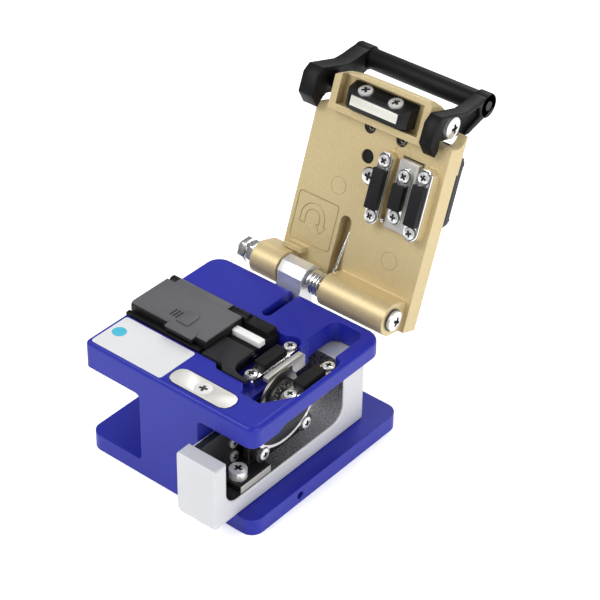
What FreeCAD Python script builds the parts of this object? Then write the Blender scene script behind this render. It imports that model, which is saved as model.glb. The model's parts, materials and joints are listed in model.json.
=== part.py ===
"""Fibre cleaver: die-cast body, blade slider on a linear rail, sprung lid, fibre holder.

Millimetres. The origin is the centre of the base plate's underside, +X runs along the fibre
to the right, +Y to the hinge at the back and +Z up. The lid is drawn closed in a frame whose
origin lies on the hinge axis, and its Placement swings it open onto its stop.
"""
import FreeCAD, Part
import math
import os
from types import SimpleNamespace

import Sketcher

NUMBERS = {
    # Body casting: base plate, web and deck in one piece.
    "body_width": 62.0,             # left to right
    "base_depth": 65.3,             # front to back
    "base_thickness": 5.3,
    "deck_depth": 55.9,             # front to back
    "deck_height": 37.85,           # top of the deck above the underside
    "wing_thickness": 9.0,          # left part of the deck
    "way_roof": 6.65,               # deck thickness above the slider
    "web_start": 20.5,              # web's left face from the body's left side
    "way_start": 42.0,              # slider way's left wall from the body's left side
    "deck_edge_round": 1.4,
    "front_corner_round": 3.2,
    "rear_corner_round": 5.0,
    "base_corner_round": 4.0,
    "way_corner_round": 1.6,
    "fit_gap": 0.3,                 # clearance between parts that move past each other
    "seat_gap": 0.15,               # clearance round a piece laid in a recess
    "shaft_gap": 0.05,              # radial clearance of a shaft in its bore
    "thread_gap": 0.06,             # radial clearance of a screw in its hole
    # Openings of the deck.
    "groove_front": 16.0,           # fibre holder groove from the front face
    "groove_width": 22.1,
    "groove_depth": 4.4,
    "foot_recess_start": 34.6,      # wider end of the groove, from the left side
    "foot_recess_front": 14.1,
    "clamp_recess_depth": 4.85,
    "clamp_recess_left": 41.3,
    "clamp_recess_right": 61.0,
    "clamp_recess_back": 39.6,
    "mouth_left": 48.2,             # opening over the blade
    "mouth_right": 55.3,
    "mouth_front": 10.3,
    "window_left": 46.7,
    "window_right": 57.9,
    "window_back": 52.8,
    "window_round": 3.0,
    "relief_start": 28.6,           # slot in the deck's back edge
    "relief_width": 3.2,
    "relief_length": 14.6,
    "relief_depth": 5.0,
    "edge_relief_start": 10.5,      # thinner right edge, from the front face
    "edge_relief_height": 1.3,
    "edge_relief_depth": 3.4,
    # Feet and side hole.
    "foot_radius": 4.0,
    "foot_inset": 8.0,
    "foot_sink": 1.0,
    "side_hole_radius": 1.25,
    "side_hole_depth": 6.0,
    "side_hole_from_front": 20.0,
    # Keeper plate under the lid magnet.
    "keeper_centre": 39.6,          # from the left side
    "keeper_from_front": 5.3,
    "keeper_length": 21.8,
    "keeper_width": 6.8,
    "keeper_thickness": 1.0,
    "keeper_proud": 0.1,
    "keeper_round": 2.8,
    "keeper_screw_radius": 2.6,
    # Fibre clamps.
    "clamp_line": 28.3,             # fibre line from the front face
    "left_clamp_centre": 44.0,      # from the left side
    "blade_plane": 51.05,
    "right_clamp_centre": 57.8,
    "clamp_width": 4.3,
    "right_clamp_width": 4.7,
    "clamp_screw_offset": 8.3,      # each side of the fibre line
    "clamp_height": 3.0,            # lower clamp block
    "lower_rubber_width": 3.8,
    "lower_rubber_length": 9.6,
    "fibre_height": 38.35,          # underside of the fibre above the underside of the base
    "screw_head_radius": 1.75,
    "screw_head_height": 0.8,
    "screw_shank_radius": 0.8,
    "screw_length": 4.2,
    # Steel rest bar beside the blade.
    "rest_bar_width": 1.7,
    "rest_bar_right": 50.4,         # from the left side
    "rest_flange_width": 2.2,
    "rest_flange_thickness": 1.2,
    "rest_bar_front": 19.4,
    "rest_bar_back": 35.5,
    "rest_bar_thickness": 1.5,
    "rest_block_length": 5.6,
    "rest_block_height": 4.9,
    # Linear rail and carriage.
    "rail_height": 14.5,            # rail's centre line above the underside
    "rail_width": 5.0,
    "rail_thickness": 3.2,
    "rail_length": 40.0,
    "rail_groove_depth": 6.0,
    "rail_groove_width": 12.8,
    "rail_start": 7.5,              # rail's front end from the front face
    "carriage_length": 20.0,
    "carriage_width": 12.0,
    "carriage_start": 8.5,
    "rail_screw_pitch": 15.0,
    # Slider casting.
    "slider_travel": 17.4,
    "slider_front": 8.7,            # how far it stands out in front
    "slider_length": 64.4,
    "slider_bottom": 5.55,
    "rear_post_top": 30.6,
    "slider_right": 55.8,           # from the left side
    "slider_beam_top": 10.7,
    "slider_wall": 2.5,
    "slider_wall_top": 24.0,
    "front_post": 5.0,
    "front_post_top": 25.7,
    "rear_post": 9.3,
    "slider_round": 4.5,
    "slider_edge_round": 0.6,
    # Blade wheel and its carrier.
    "blade_radius": 8.0,
    "blade_thickness": 0.9,
    "blade_from_front": 23.3,
    "blade_bite": 0.05,             # blade's top below the fibre
    "dial_radius": 5.9,
    "dial_thickness": 1.5,
    "axle_radius": 1.5,
    "axle_head_radius": 2.6,
    "axle_head_height": 0.9,
    "arm_thickness": 1.8,
    "arm_head_margin": 2.6,         # arm's top above the axle
    "arm_foot_front": 2.7,
    "arm_foot_length": 12.6,
    "arm_foot_height": 2.4,
    "arm_foot_right": 55.2,
    "arm_screw_from_front": 5.9,
    "arm_screw_centre": 51.4,
    "arm_screw_radius": 2.6,
    "arm_screw_head": 3.0,
    "guard_radius": 14.8,
    "guard_inner_radius": 9.0,
    "guard_thickness": 1.6,
    "guard_screw_circle": 16.3,
    "guard_screw_angle": 33.5,      # each side of straight down
    "guard_ear_radius": 2.8,
    # Hinge.
    "hinge_from_front": 61.7,
    "hinge_height": 39.2,
    "open_angle": 109.6,
    "pin_radius": 2.0,
    "pin_start": 4.2,               # left end of the pin from the left side
    "knuckle_radius": 4.7,
    "hinge_block_start": 21.4,
    "hinge_block_width": 9.0,
    "hinge_block_foot": 20.0,       # its lower end above the underside
    "hinge_block_depth": 7.0,
    "hinge_screw_radius": 1.25,
    "hinge_screw_head": 2.4,
    "hinge_screw_low": 3.6,         # lower screw above the block's foot
    "hinge_screw_pitch": 6.2,
    "nut_flats": 6.6,
    "nut_thickness": 2.5,
    "end_screw_radius": 3.0,
    "end_screw_head": 1.5,
    # Lid casting, closed, measured from the hinge axis.
    "lid_left": 15.0,               # from the body's left side
    "lid_right": 62.0,
    "lid_rise": 5.0,                # inner face above the hinge axis
    "lid_thickness": 6.6,
    "lid_tail": 4.3,                # behind the axis
    "lid_reach": 50.2,              # in front of the axis
    "lid_edge_round": 1.0,
    "barrel_radius": 5.0,
    "barrel_start": 37.0,
    "barrel_end": 60.2,
    "lug_start": 11.5,
    "lug_end": 21.0,
    "rim_left": 20.9,
    "rim_right": 54.2,
    "rim_overlap": 0.9,             # rim block's near side, inside the lid's end
    "rim_beyond": 12.1,             # its far side, beyond the lid's end
    "rim_height": 3.4,
    "rim_wall": 2.3,
    "rim_far_wall": 1.6,
    "rim_near_wall": 2.0,
    "nose_lip": 2.4,                # upright part of the lid's far side
    "nose_slope": 4.4,              # run of the bevel below it
    "neck_left": 19.4,              # lid's end between the handle arms
    "neck_right": 54.6,
    "pad_boss_height": 2.6,
    "pad_length": 21.4,
    "pad_bevel": 1.1,               # corners of the pads' far end
    "pad_plate_thickness": 1.0,
    "pad_rubber_length": 12.0,
    "pad_rubber_width": 3.8,
    "pad_face": 5.7,                # rubber's face below the lid's inner face
    "anvil_pocket_depth": 4.6,
    "anvil_pocket_width": 7.4,
    "anvil_pocket_length": 21.6,
    "anvil_height": 5.0,            # rubber's face below the lid's inner face
    "anvil_travel": 0.7,
    "anvil_carrier_width": 6.6,
    "anvil_carrier_length": 20.6,
    "anvil_carrier_rise": 1.8,      # carrier below the lid's inner face
    "anvil_carrier_sink": 3.2,      # and above it
    "anvil_plate_width": 4.4,
    "anvil_plate_length": 16.4,
    "anvil_screw_offset": 6.1,
    "anvil_rubber_length": 7.4,
    "anvil_rubber_width": 3.9,
    "anvil_spring_radius": 1.6,
    "spring_slot_width": 4.0,
    "spring_slot_start": 32.3,
    "spring_slot_reach": 20.7,
    "spring_slot_depth": 4.0,
    "spring_wire_radius": 0.55,
    "spring_coil_radius": 3.2,
    "spring_pitch": 1.15,
    "spring_rise": 4.025,
    "spring_start": 31.6,
    "spring_leg": 17.0,
    "stop_tab_start": 17.4,
    "stop_tab_width": 6.2,
    "grip_pad_left": 26.0,
    "grip_pad_right": 60.8,
    "grip_pad_near": 24.6,
    "grip_pad_far": 50.0,
    "grip_pad_thickness": 2.6,
    "grip_pad_round": 5.0,
    "lid_hole_centre": 35.9,
    "lid_hole_reach": 39.6,
    "lid_hole_radius": 2.1,
    "lid_screw_centre": 38.2,
    "lid_screw_reach": 34.5,
    "lid_screw_radius": 2.3,
    "set_screw_radius": 1.6,
    "set_screw_reach": 48.0,
    "set_screw_left": 34.4,
    "set_screw_right": 45.6,
    # Magnet in the lid's rim.
    "magnet_block_left": 26.8,
    "magnet_block_right": 48.6,
    "magnet_block_start": 2.1,       # beyond the lid's end
    "magnet_block_end": 9.2,
    "magnet_face": 6.1,             # its face below the lid's inner face
    "magnet_length": 16.4,
    "magnet_width": 2.9,
    "magnet_sink": 2.0,
    "magnet_screw_pitch": 10.6,
    "magnet_slope_run": 2.8,
    "magnet_slope_drop": 4.8,
    # Handle: two arms and a bar on pivot screws.
    "pivot_beyond": 5.6,            # beyond the lid's end
    "pivot_depth": 4.0,             # above the lid's inner face
    "arm_width": 3.6,
    "arm_gap": 0.3,
    "pivot_screw_radius": 1.6,
    "pivot_head_radius": 3.2,
    "pivot_head_height": 1.6,
    "bar_ahead": 5.4,               # bar's centre from the pivot, away from the hinge
    "bar_above": 15.6,
    "bar_radius": 2.7,
    "bar_end_radius": 3.7,
    "bar_rod_radius": 1.1,
    "arm_recess": 1.3,              # web's sink in the arm's outer face
    "heel_depth": 6.0,              # heel of the arm below the lid's inner face
    # Fibre holder in the groove.
    "holder_length": 38.2,
    "holder_start": 0.4,
    "holder_top": 37.3,
    "holder_gap": 0.25,
    "flap_front": 18.4,             # from the front face
    "flap_back": 33.6,
    "flap_length": 28.4,
    "flap_top": 41.0,
    "flap_thickness": 3.2,
    "flap_pin_radius": 0.8,
    "flap_pin_from_front": 35.7,
    "flap_pin_height": 39.2,
    "flap_barrel_radius": 1.6,
    "flap_barrel_start": 3.2,
    "flap_barrel_end": 23.2,
    "scale_plate_start": 29.2,
    "scale_plate_end": 46.6,
    "scale_foot_start": 36.4,       # the plate's foot, from the left side
    "scale_plate_back": 26.3,
    "scale_plate_top": 38.5,
    "slide_bar_start": 28.9,
    "slide_bar_length": 10.2,
    "slide_bar_front": 29.0,
    "slide_bar_width": 2.6,
    "slide_bar_top": 39.2,
    "rear_block_top": 39.4,
}

os.makedirs("parts", exist_ok=True)
doc = FreeCAD.newDocument("fibre_cleaver")
sheet = doc.addObject("Spreadsheet::Sheet", "sizes")
for row, (alias, number) in enumerate(NUMBERS.items(), 1):
    sheet.set("A%d" % row, alias)
    sheet.set("B%d" % row, str(number))
    sheet.setAlias("B%d" % row, alias)
doc.recompute()


class Size:
    """A length worked out from the sheet: its number, and the expression that gives it."""

    def __init__(self, text, value):
        self.text = text
        self.value = value

    def joined(self, sign, other, value):
        return Size("(%s %s %s)" % (self.text, sign, other.text), value)

    def __add__(self, other):
        other = as_size(other)
        return self.joined("+", other, self.value + other.value)

    def __sub__(self, other):
        other = as_size(other)
        return self.joined("-", other, self.value - other.value)

    def __mul__(self, other):
        other = as_size(other)
        return self.joined("*", other, self.value * other.value)

    def __truediv__(self, other):
        other = as_size(other)
        return self.joined("/", other, self.value / other.value)

    def __radd__(self, other):
        return as_size(other) + self

    def __rsub__(self, other):
        return as_size(other) - self

    def __rmul__(self, other):
        return as_size(other) * self

    def __neg__(self):
        return 0 - self


def as_size(number):
    return number if isinstance(number, Size) else Size("%.9g" % number, float(number))


S = SimpleNamespace(**{name: Size("sizes." + name, value) for name, value in NUMBERS.items()})

LEFT = -S.body_width / 2
RIGHT = S.body_width / 2
FRONT = -S.base_depth / 2
BACK = S.base_depth / 2
DECK_BACK = FRONT + S.deck_depth
WAY_LEFT = LEFT + S.way_start
WAY_TOP = S.deck_height - S.way_roof
FIBRE_Y = FRONT + S.clamp_line
HINGE_Y = FRONT + S.hinge_from_front
LEDGE = S.deck_height - S.clamp_recess_depth
LID_X = SimpleNamespace(left=LEFT + S.lid_left, right=LEFT + S.lid_right)


def bind(feature, name, size):
    """Ties one property of a feature to the sheet."""
    feature.setExpression(name, as_size(size).text)


# Outlines. Each function returns one that draws itself in a sketch, fixed by sheet values.

def arc_to(centre, end, turn):
    """A round stretch of an outline: about centre to end, turn 1 anticlockwise, -1 clockwise."""
    return SimpleNamespace(centre=centre, end=end, turn=turn)


def pin_point(sketch, item, vertex, x, y):
    """Fixes a sketch vertex at x, y; a plain 0 puts it on the sketch's own axis."""
    for kind, size, axis in (("DistanceX", x, -2), ("DistanceY", y, -1)):
        if size is None:
            continue
        if size == 0:
            sketch.addConstraint(Sketcher.Constraint("PointOnObject", item, vertex, axis))
            continue
        number = sketch.addConstraint(
            Sketcher.Constraint(kind, -1, 1, item, vertex, as_size(size).value))
        sketch.setExpression("Constraints[%d]" % number, as_size(size).text)


def outline(*steps):
    """A closed outline through points and arcs."""
    def draw(sketch):
        ends = [step if isinstance(step, tuple) else step.end for step in steps]
        numbers = []
        for index, step in enumerate(steps):
            start = vector(*ends[index - 1])
            end = vector(*ends[index])
            if isinstance(step, tuple):
                numbers.append(sketch.addGeometry(Part.LineSegment(start, end), False))
            else:
                numbers.append(add_arc(sketch, step, start, end))
        for index, step in enumerate(steps):
            following = (index + 1) % len(steps)
            last = end_vertex(steps[index])
            first = start_vertex(steps[following])
            sketch.addConstraint(
                Sketcher.Constraint("Coincident", numbers[index], last, numbers[following], first))
        for index, step in enumerate(steps):
            x, y = ends[index]
            if isinstance(step, tuple):
                pin_point(sketch, numbers[index], 2, x, y)
                continue
            pin_point(sketch, numbers[index], 3, *step.centre)
            across = abs(as_size(x).value - as_size(step.centre[0]).value)
            along = abs(as_size(y).value - as_size(step.centre[1]).value)
            if across > along:
                pin_point(sketch, numbers[index], end_vertex(step), None, y)
            else:
                pin_point(sketch, numbers[index], end_vertex(step), x, None)
    return draw


def vector(x, y, z=0):
    return FreeCAD.Vector(as_size(x).value, as_size(y).value, as_size(z).value)


def start_vertex(step):
    return 2 if not isinstance(step, tuple) and step.turn < 0 else 1


def end_vertex(step):
    return 1 if not isinstance(step, tuple) and step.turn < 0 else 2


def add_arc(sketch, step, start, end):
    centre = vector(*step.centre)
    first, last = (start, end) if step.turn > 0 else (end, start)
    circle = Part.Circle(centre, FreeCAD.Vector(0, 0, 1), (first - centre).Length)
    angles = [math.atan2(point.y - centre.y, point.x - centre.x) for point in (first, last)]
    if angles[1] <= angles[0]:
        angles[1] += 2 * math.pi
    return sketch.addGeometry(Part.ArcOfCircle(circle, angles[0], angles[1]), False)


def rectangle(x0, y0, x1, y1):
    return outline((x0, y0), (x1, y0), (x1, y1), (x0, y1))


def slot(x, y, length, width, upright=False):
    """A round-ended slot about x, y; length is end to end."""
    reach = (length - width) / 2
    half = width / 2
    if upright:
        return outline((x + half, y + reach),
                       arc_to((x, y + reach), (x - half, y + reach), 1),
                       (x - half, y - reach),
                       arc_to((x, y - reach), (x + half, y - reach), 1))
    return outline((x + reach, y - half),
                   arc_to((x + reach, y), (x + reach, y + half), 1),
                   (x - reach, y + half),
                   arc_to((x - reach, y), (x - reach, y - half), 1))


def circle(x, y, radius):
    def draw(sketch):
        number = sketch.addGeometry(
            Part.Circle(vector(x, y), FreeCAD.Vector(0, 0, 1), as_size(radius).value), False)
        pin_point(sketch, number, 3, x, y)
        limit = sketch.addConstraint(
            Sketcher.Constraint("Radius", number, as_size(radius).value))
        sketch.setExpression("Constraints[%d]" % limit, as_size(radius).text)
    return draw


def sides_for(radius):
    """Screws and their holes are drawn with flats: eight when slim, otherwise twelve."""
    return 8 if as_size(radius).value < 1.2 else 12


def polygon(x, y, radius, sides):
    corners = []
    for index in range(sides):
        angle = 2 * math.pi * (index + 0.5) / sides
        corners.append((x + radius * round(math.cos(angle), 9),
                        y + radius * round(math.sin(angle), 9)))
    return outline(*corners)


# Features.

PLANES = {"xy": ("XY_Plane", 1), "xz": ("XZ_Plane", -1), "yz": ("YZ_Plane", 1)}
SUBPARTS = []


def new_body(name, frame=None):
    """An empty body that becomes the node NAME; frame swings it with the lid."""
    body = doc.addObject("PartDesign::Body", name)
    body.Label = name
    if frame:
        frame(body)
    SUBPARTS.append(body)
    return body


def profile(body, plane, start, shapes):
    role, sign = PLANES[plane]
    sketch = body.newObject("Sketcher::SketchObject", body.Name + "_profile")
    origin_plane = [item for item in body.Origin.OriginFeatures if item.Role == role][0]
    sketch.AttachmentSupport = [(origin_plane, "")]
    sketch.MapMode = "FlatFace"
    bind(sketch, "AttachmentOffset.Base.z", sign * as_size(start))
    for shape in shapes:
        shape(sketch)
    return sketch


def extrude(body, plane, start, end, *shapes):
    """Adds material from start to end along the plane's axis."""
    sketch = profile(body, plane, start, shapes)
    feature = body.newObject("PartDesign::Pad", body.Name + "_pad")
    feature.Profile = sketch
    feature.Reversed = PLANES[plane][1] < 0
    bind(feature, "Length", as_size(end) - start)
    return feature


def cut(body, plane, start, end, *shapes):
    """Takes material away from start to end along the plane's axis."""
    sketch = profile(body, plane, start, shapes)
    feature = body.newObject("PartDesign::Pocket", body.Name + "_pocket")
    feature.Profile = sketch
    feature.Reversed = PLANES[plane][1] > 0
    bind(feature, "Length", as_size(end) - start)
    return feature


def spin(body, shape, axis="V_Axis", groove=False):
    """Turns an outline, drawn in the XZ plane, about the Z axis (or X axis)."""
    sketch = profile(body, "xz", 0, [shape])
    kind = "PartDesign::Groove" if groove else "PartDesign::Revolution"
    feature = body.newObject(kind, body.Name + "_spin")
    feature.Profile = sketch
    feature.ReferenceAxis = (sketch, [axis])
    feature.Angle = 360
    return feature


def edges_on(body, **places):
    """Names of the edges at the places given: x=RIGHT lies flat there, x=(a, b) spans a to b."""
    names = []
    for index, edge in enumerate(body.Tip.Shape.Edges, 1):
        box = edge.BoundBox
        spans = {"x": (box.XMin, box.XMax), "y": (box.YMin, box.YMax), "z": (box.ZMin, box.ZMax)}
        gaps = []
        for axis, place in places.items():
            limits = place if isinstance(place, tuple) else (place, place)
            gaps += [abs(found - as_size(limit).value) for found, limit in zip(spans[axis], limits)]
        if max(gaps) < 0.01:
            names.append("Edge%d" % index)
    return names


def soften(body, kind, radius, *places):
    """Rounds (Fillet) or bevels (Chamfer) the edges at the places."""
    doc.recompute()
    names = []
    for place in places:
        names += [name for name in edges_on(body, **place) if name not in names]
    base = body.Tip
    feature = body.newObject("PartDesign::" + kind, body.Name + "_" + kind.lower())
    feature.Base = (base, names)
    bind(feature, "Radius" if kind == "Fillet" else "Size", radius)
    return feature


def lid_frame(item):
    """Swings a piece drawn on the closed lid to the open stop."""
    item.Placement = FreeCAD.Placement(FreeCAD.Vector(), FreeCAD.Rotation(FreeCAD.Vector(1, 0, 0), 1))
    bind(item, "Placement.Base.y", HINGE_Y)
    bind(item, "Placement.Base.z", S.hinge_height)
    bind(item, "Placement.Rotation.Angle", -S.open_angle)


COSINE = Size("cos(sizes.open_angle)", math.cos(math.radians(S.open_angle.value)))
SINE = Size("sin(sizes.open_angle)", math.sin(math.radians(S.open_angle.value)))


def put(item, place, facing, frame=None):
    """Seats a piece drawn about its own Z axis at place, its Z axis turned to facing."""
    x, y, z = place
    turn = FreeCAD.Rotation(UP, facing)
    if frame == "lid":
        x, y, z = x, HINGE_Y + y * COSINE + z * SINE, S.hinge_height - y * SINE + z * COSINE
        turn = FreeCAD.Rotation(TO_RIGHT, -S.open_angle.value).multiply(turn)
    item.Placement = FreeCAD.Placement(FreeCAD.Vector(), turn)
    for axis, size in zip("xyz", (x, y, z)):
        bind(item, "Placement.Base." + axis, size)


def group(name, bodies):
    """Joins loose solids of one kind in one node."""
    for body in bodies:
        SUBPARTS.remove(body)
    compound = doc.addObject("Part::Compound", name)
    compound.Label = name
    compound.Links = bodies
    SUBPARTS.append(compound)
    return compound


UP = FreeCAD.Vector(0, 0, 1)
DOWN = FreeCAD.Vector(0, 0, -1)
TO_RIGHT = FreeCAD.Vector(1, 0, 0)
TO_LEFT = FreeCAD.Vector(-1, 0, 0)
TO_BACK = FreeCAD.Vector(0, 1, 0)


def screw(name, place, facing, head_radius, head_height, shank_radius, length, frame=None,
          turning=False):
    """A screw seated at place with its head facing a direction; a turning one is round."""
    body = new_body(name)
    if turning:
        spin(body, outline((0, head_height), (0, -as_size(length)),
                           (shank_radius, -as_size(length)),
                           (shank_radius, 0), (head_radius, 0), (head_radius, head_height)))
    else:
        extrude(body, "xy", 0, head_height, polygon(0, 0, head_radius, 12))
        extrude(body, "xy", -as_size(length), 0,
                polygon(0, 0, shank_radius, sides_for(shank_radius)))
    put(body, place, facing, frame)
    return body


def clamp_screw(name, place, facing, frame=None):
    return screw(name, place, facing, S.screw_head_radius, S.screw_head_height,
                 S.screw_shank_radius, S.screw_length, frame)


def drill(body, plane, start, end, radius, *centres):
    """Screw holes, drawn with the flats of their screws."""
    cut(body, plane, start, end,
        *[polygon(x, y, radius, sides_for(radius)) for x, y in centres])


def drill_yz(body, start, end, radius, *centres):
    drill(body, "yz", start, end, radius, *centres)


def bore(body, plane, start, end, radius, *centres):
    """Round holes."""
    cut(body, plane, start, end, *[circle(x, y, radius) for x, y in centres])


# Body casting, from its front outline: base, web, way and deck.
BASE_TOP = S.base_thickness
WING_FLOOR = S.deck_height - S.wing_thickness
WEB_LEFT = LEFT + S.web_start
body_casting = new_body("body_casting")
extrude(body_casting, "xz", FRONT, DECK_BACK,
        outline((LEFT, 0), (RIGHT, 0), (RIGHT, BASE_TOP), (WAY_LEFT, BASE_TOP),
                (WAY_LEFT, WAY_TOP), (RIGHT, WAY_TOP), (RIGHT, S.deck_height),
                (LEFT, S.deck_height), (LEFT, WING_FLOOR), (WEB_LEFT, WING_FLOOR),
                (WEB_LEFT, BASE_TOP), (LEFT, BASE_TOP)))
extrude(body_casting, "xy", 0, BASE_TOP, rectangle(LEFT, FRONT, RIGHT, BACK))
soften(body_casting, "Fillet", S.base_corner_round,
       dict(x=LEFT, y=FRONT, z=(0, BASE_TOP)), dict(x=RIGHT, y=FRONT, z=(0, BASE_TOP)),
       dict(x=LEFT, y=BACK), dict(x=RIGHT, y=BACK))
soften(body_casting, "Fillet", S.front_corner_round,
       dict(x=RIGHT, y=FRONT, z=(WAY_TOP, S.deck_height)))
soften(body_casting, "Fillet", S.deck_edge_round,
       dict(x=LEFT, y=FRONT, z=(WING_FLOOR, S.deck_height)))
soften(body_casting, "Fillet", S.rear_corner_round,
       dict(x=LEFT, y=DECK_BACK, z=(WING_FLOOR, S.deck_height)),
       dict(x=RIGHT, y=DECK_BACK, z=(WAY_TOP, S.deck_height)))
soften(body_casting, "Fillet", S.way_corner_round,
       dict(x=WAY_LEFT, z=WAY_TOP),
       dict(x=WEB_LEFT, z=WING_FLOOR), dict(x=WEB_LEFT, z=BASE_TOP))
soften(body_casting, "Fillet", S.deck_edge_round, dict(x=LEFT, z=S.deck_height))

# Holder groove with its wider end, and the clamp recess with a lobe round each rear screw.
GROOVE_FRONT = FRONT + S.groove_front
GROOVE_BACK = GROOVE_FRONT + S.groove_width
GROOVE_FLOOR = S.deck_height - S.groove_depth
RECESS_LEFT = LEFT + S.clamp_recess_left
RECESS_RIGHT = LEFT + S.clamp_recess_right
RECESS_FRONT = FRONT + S.foot_recess_front
RECESS_BACK = FRONT + S.clamp_recess_back
MOUTH_LEFT = LEFT + S.mouth_left
MOUTH_RIGHT = LEFT + S.mouth_right
MOUTH_FRONT = FRONT + S.mouth_front
LEFT_CLAMP_X = LEFT + S.left_clamp_centre
BLADE_X = LEFT + S.blade_plane
RIGHT_CLAMP_X = LEFT + S.right_clamp_centre
OVER = S.deck_height + 1
cut(body_casting, "xy", GROOVE_FLOOR, OVER,
    outline((LEFT - 1, GROOVE_FRONT), (LEFT + S.foot_recess_start, GROOVE_FRONT),
            (LEFT + S.foot_recess_start + 1.9, RECESS_FRONT), (RECESS_LEFT + 1, RECESS_FRONT),
            (RECESS_LEFT + 1, GROOVE_BACK), (LEFT - 1, GROOVE_BACK)))
LOBE = S.clamp_width / 2 + 1.1
LOBE_Y = RECESS_BACK - LOBE
cut(body_casting, "xy", LEDGE, OVER,
    outline((RECESS_LEFT, RECESS_FRONT), (RECESS_RIGHT - 3.1, RECESS_FRONT),
            (RECESS_RIGHT, RECESS_FRONT + 4.8), (RECESS_RIGHT, LOBE_Y),
            arc_to((RECESS_RIGHT - LOBE, LOBE_Y), (RECESS_RIGHT - LOBE, RECESS_BACK), 1),
            (MOUTH_RIGHT, RECESS_BACK), (MOUTH_RIGHT, LOBE_Y - 0.4), (MOUTH_LEFT, LOBE_Y - 0.4),
            (LEFT_CLAMP_X + LOBE, LOBE_Y),
            arc_to((LEFT_CLAMP_X, LOBE_Y), (LEFT_CLAMP_X - LOBE, LOBE_Y), 1),
            (RECESS_LEFT, LOBE_Y - 2)))

# Opening over the blade, with bevelled front corners, joined to the window behind it.
WINDOW_LEFT = LEFT + S.window_left
WINDOW_RIGHT = LEFT + S.window_right
WINDOW_BACK = FRONT + S.window_back
WINDOW_ROUND = S.window_round
UNDER = WAY_TOP - 2
cut(body_casting, "xy", UNDER, OVER,
    outline((MOUTH_LEFT, MOUTH_FRONT), (MOUTH_RIGHT, MOUTH_FRONT), (MOUTH_RIGHT, RECESS_BACK),
            (WINDOW_RIGHT, RECESS_BACK), (WINDOW_RIGHT, WINDOW_BACK - WINDOW_ROUND),
            arc_to((WINDOW_RIGHT - WINDOW_ROUND, WINDOW_BACK - WINDOW_ROUND),
                   (WINDOW_RIGHT - WINDOW_ROUND, WINDOW_BACK), 1),
            (WINDOW_LEFT + WINDOW_ROUND, WINDOW_BACK),
            arc_to((WINDOW_LEFT + WINDOW_ROUND, WINDOW_BACK - WINDOW_ROUND),
                   (WINDOW_LEFT, WINDOW_BACK - WINDOW_ROUND), 1),
            (WINDOW_LEFT, RECESS_BACK), (MOUTH_LEFT, RECESS_BACK)))
cut(body_casting, "xy", LEDGE, OVER,
    outline((MOUTH_LEFT, MOUTH_FRONT + 1), (MOUTH_LEFT, RECESS_FRONT + 0.1),
            (MOUTH_LEFT - 2.1, RECESS_FRONT + 0.1)))
cut(body_casting, "xy", LEDGE, OVER,
    outline((MOUTH_RIGHT, MOUTH_FRONT), (MOUTH_RIGHT + 2.7, RECESS_FRONT + 0.1),
            (MOUTH_RIGHT, RECESS_FRONT + 0.1)))

# The right edge is thinner behind the front corner, to show the guard.
cut(body_casting, "yz", RIGHT - S.edge_relief_depth, RIGHT + 1,
    outline((FRONT + S.edge_relief_start, WAY_TOP - 1), (DECK_BACK + 1, WAY_TOP - 1),
            (DECK_BACK + 1, WAY_TOP + S.edge_relief_height),
            (FRONT + S.edge_relief_start + 2.5, WAY_TOP + S.edge_relief_height),
            (FRONT + S.edge_relief_start, WAY_TOP)))

# Slot in the deck's back edge.
RELIEF_X = LEFT + S.relief_start + S.relief_width / 2
RELIEF_Y = DECK_BACK - S.relief_length + S.relief_width / 2
HALF_RELIEF = S.relief_width / 2
cut(body_casting, "xy", S.deck_height - S.relief_depth, OVER,
    outline((RELIEF_X + HALF_RELIEF, DECK_BACK + 1),
            (RELIEF_X - HALF_RELIEF, DECK_BACK + 1), (RELIEF_X - HALF_RELIEF, RELIEF_Y),
            arc_to((RELIEF_X, RELIEF_Y), (RELIEF_X + HALF_RELIEF, RELIEF_Y), 1)))

# Recess of the keeper plate.
KEEPER_X = LEFT + S.keeper_centre
KEEPER_Y = FRONT + S.keeper_from_front
KEEPER_TOP = S.deck_height + S.keeper_proud
KEEPER_SEAT = KEEPER_TOP - S.keeper_thickness


def keeper_outline(grow):
    half_length = S.keeper_length / 2 + grow
    half_width = S.keeper_width / 2 + grow
    corner = S.keeper_round + grow
    x0, x1 = KEEPER_X - half_length, KEEPER_X + half_length
    y0, y1 = KEEPER_Y - half_width, KEEPER_Y + half_width
    return outline((x1 - corner, y0),
                   arc_to((x1 - corner, y0 + corner), (x1, y0 + corner), 1),
                   (x1, y1 - corner), arc_to((x1 - corner, y1 - corner), (x1 - corner, y1), 1),
                   (x0 + corner, y1), arc_to((x0 + corner, y1 - corner), (x0, y1 - corner), 1),
                   (x0, y0 + corner), arc_to((x0 + corner, y0 + corner), (x0 + corner, y0), 1))


cut(body_casting, "xy", KEEPER_SEAT, OVER, keeper_outline(S.seat_gap))

# Groove of the linear rail, foot recesses, the side hole and every screw hole.
RAIL_FLOOR = WAY_LEFT - S.rail_groove_depth
RAIL_FRONT = FRONT + S.rail_start
RAIL_BACK = RAIL_FRONT + S.rail_length
RAIL_Z = S.rail_height
cut(body_casting, "yz", RAIL_FLOOR, WAY_LEFT + 2,
    rectangle(RAIL_FRONT - 1.5, RAIL_Z - S.rail_groove_width / 2,
              RAIL_BACK + 2.5, RAIL_Z + S.rail_groove_width / 2))
FOOT_X = RIGHT - S.foot_inset
FOOT_Y = BACK - S.foot_inset
FOOT_SPOTS = [(FOOT_X, FOOT_Y), (-FOOT_X, FOOT_Y), (-FOOT_X, -FOOT_Y), (FOOT_X, -FOOT_Y)]
bore(body_casting, "xy", -1, S.foot_sink, S.foot_radius + S.seat_gap, *FOOT_SPOTS)
SIDE_HOLE_Y = FRONT + S.side_hole_from_front
bore(body_casting, "yz", RIGHT - S.side_hole_depth, RIGHT + 1, S.side_hole_radius,
     (SIDE_HOLE_Y, BASE_TOP / 2))
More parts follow.
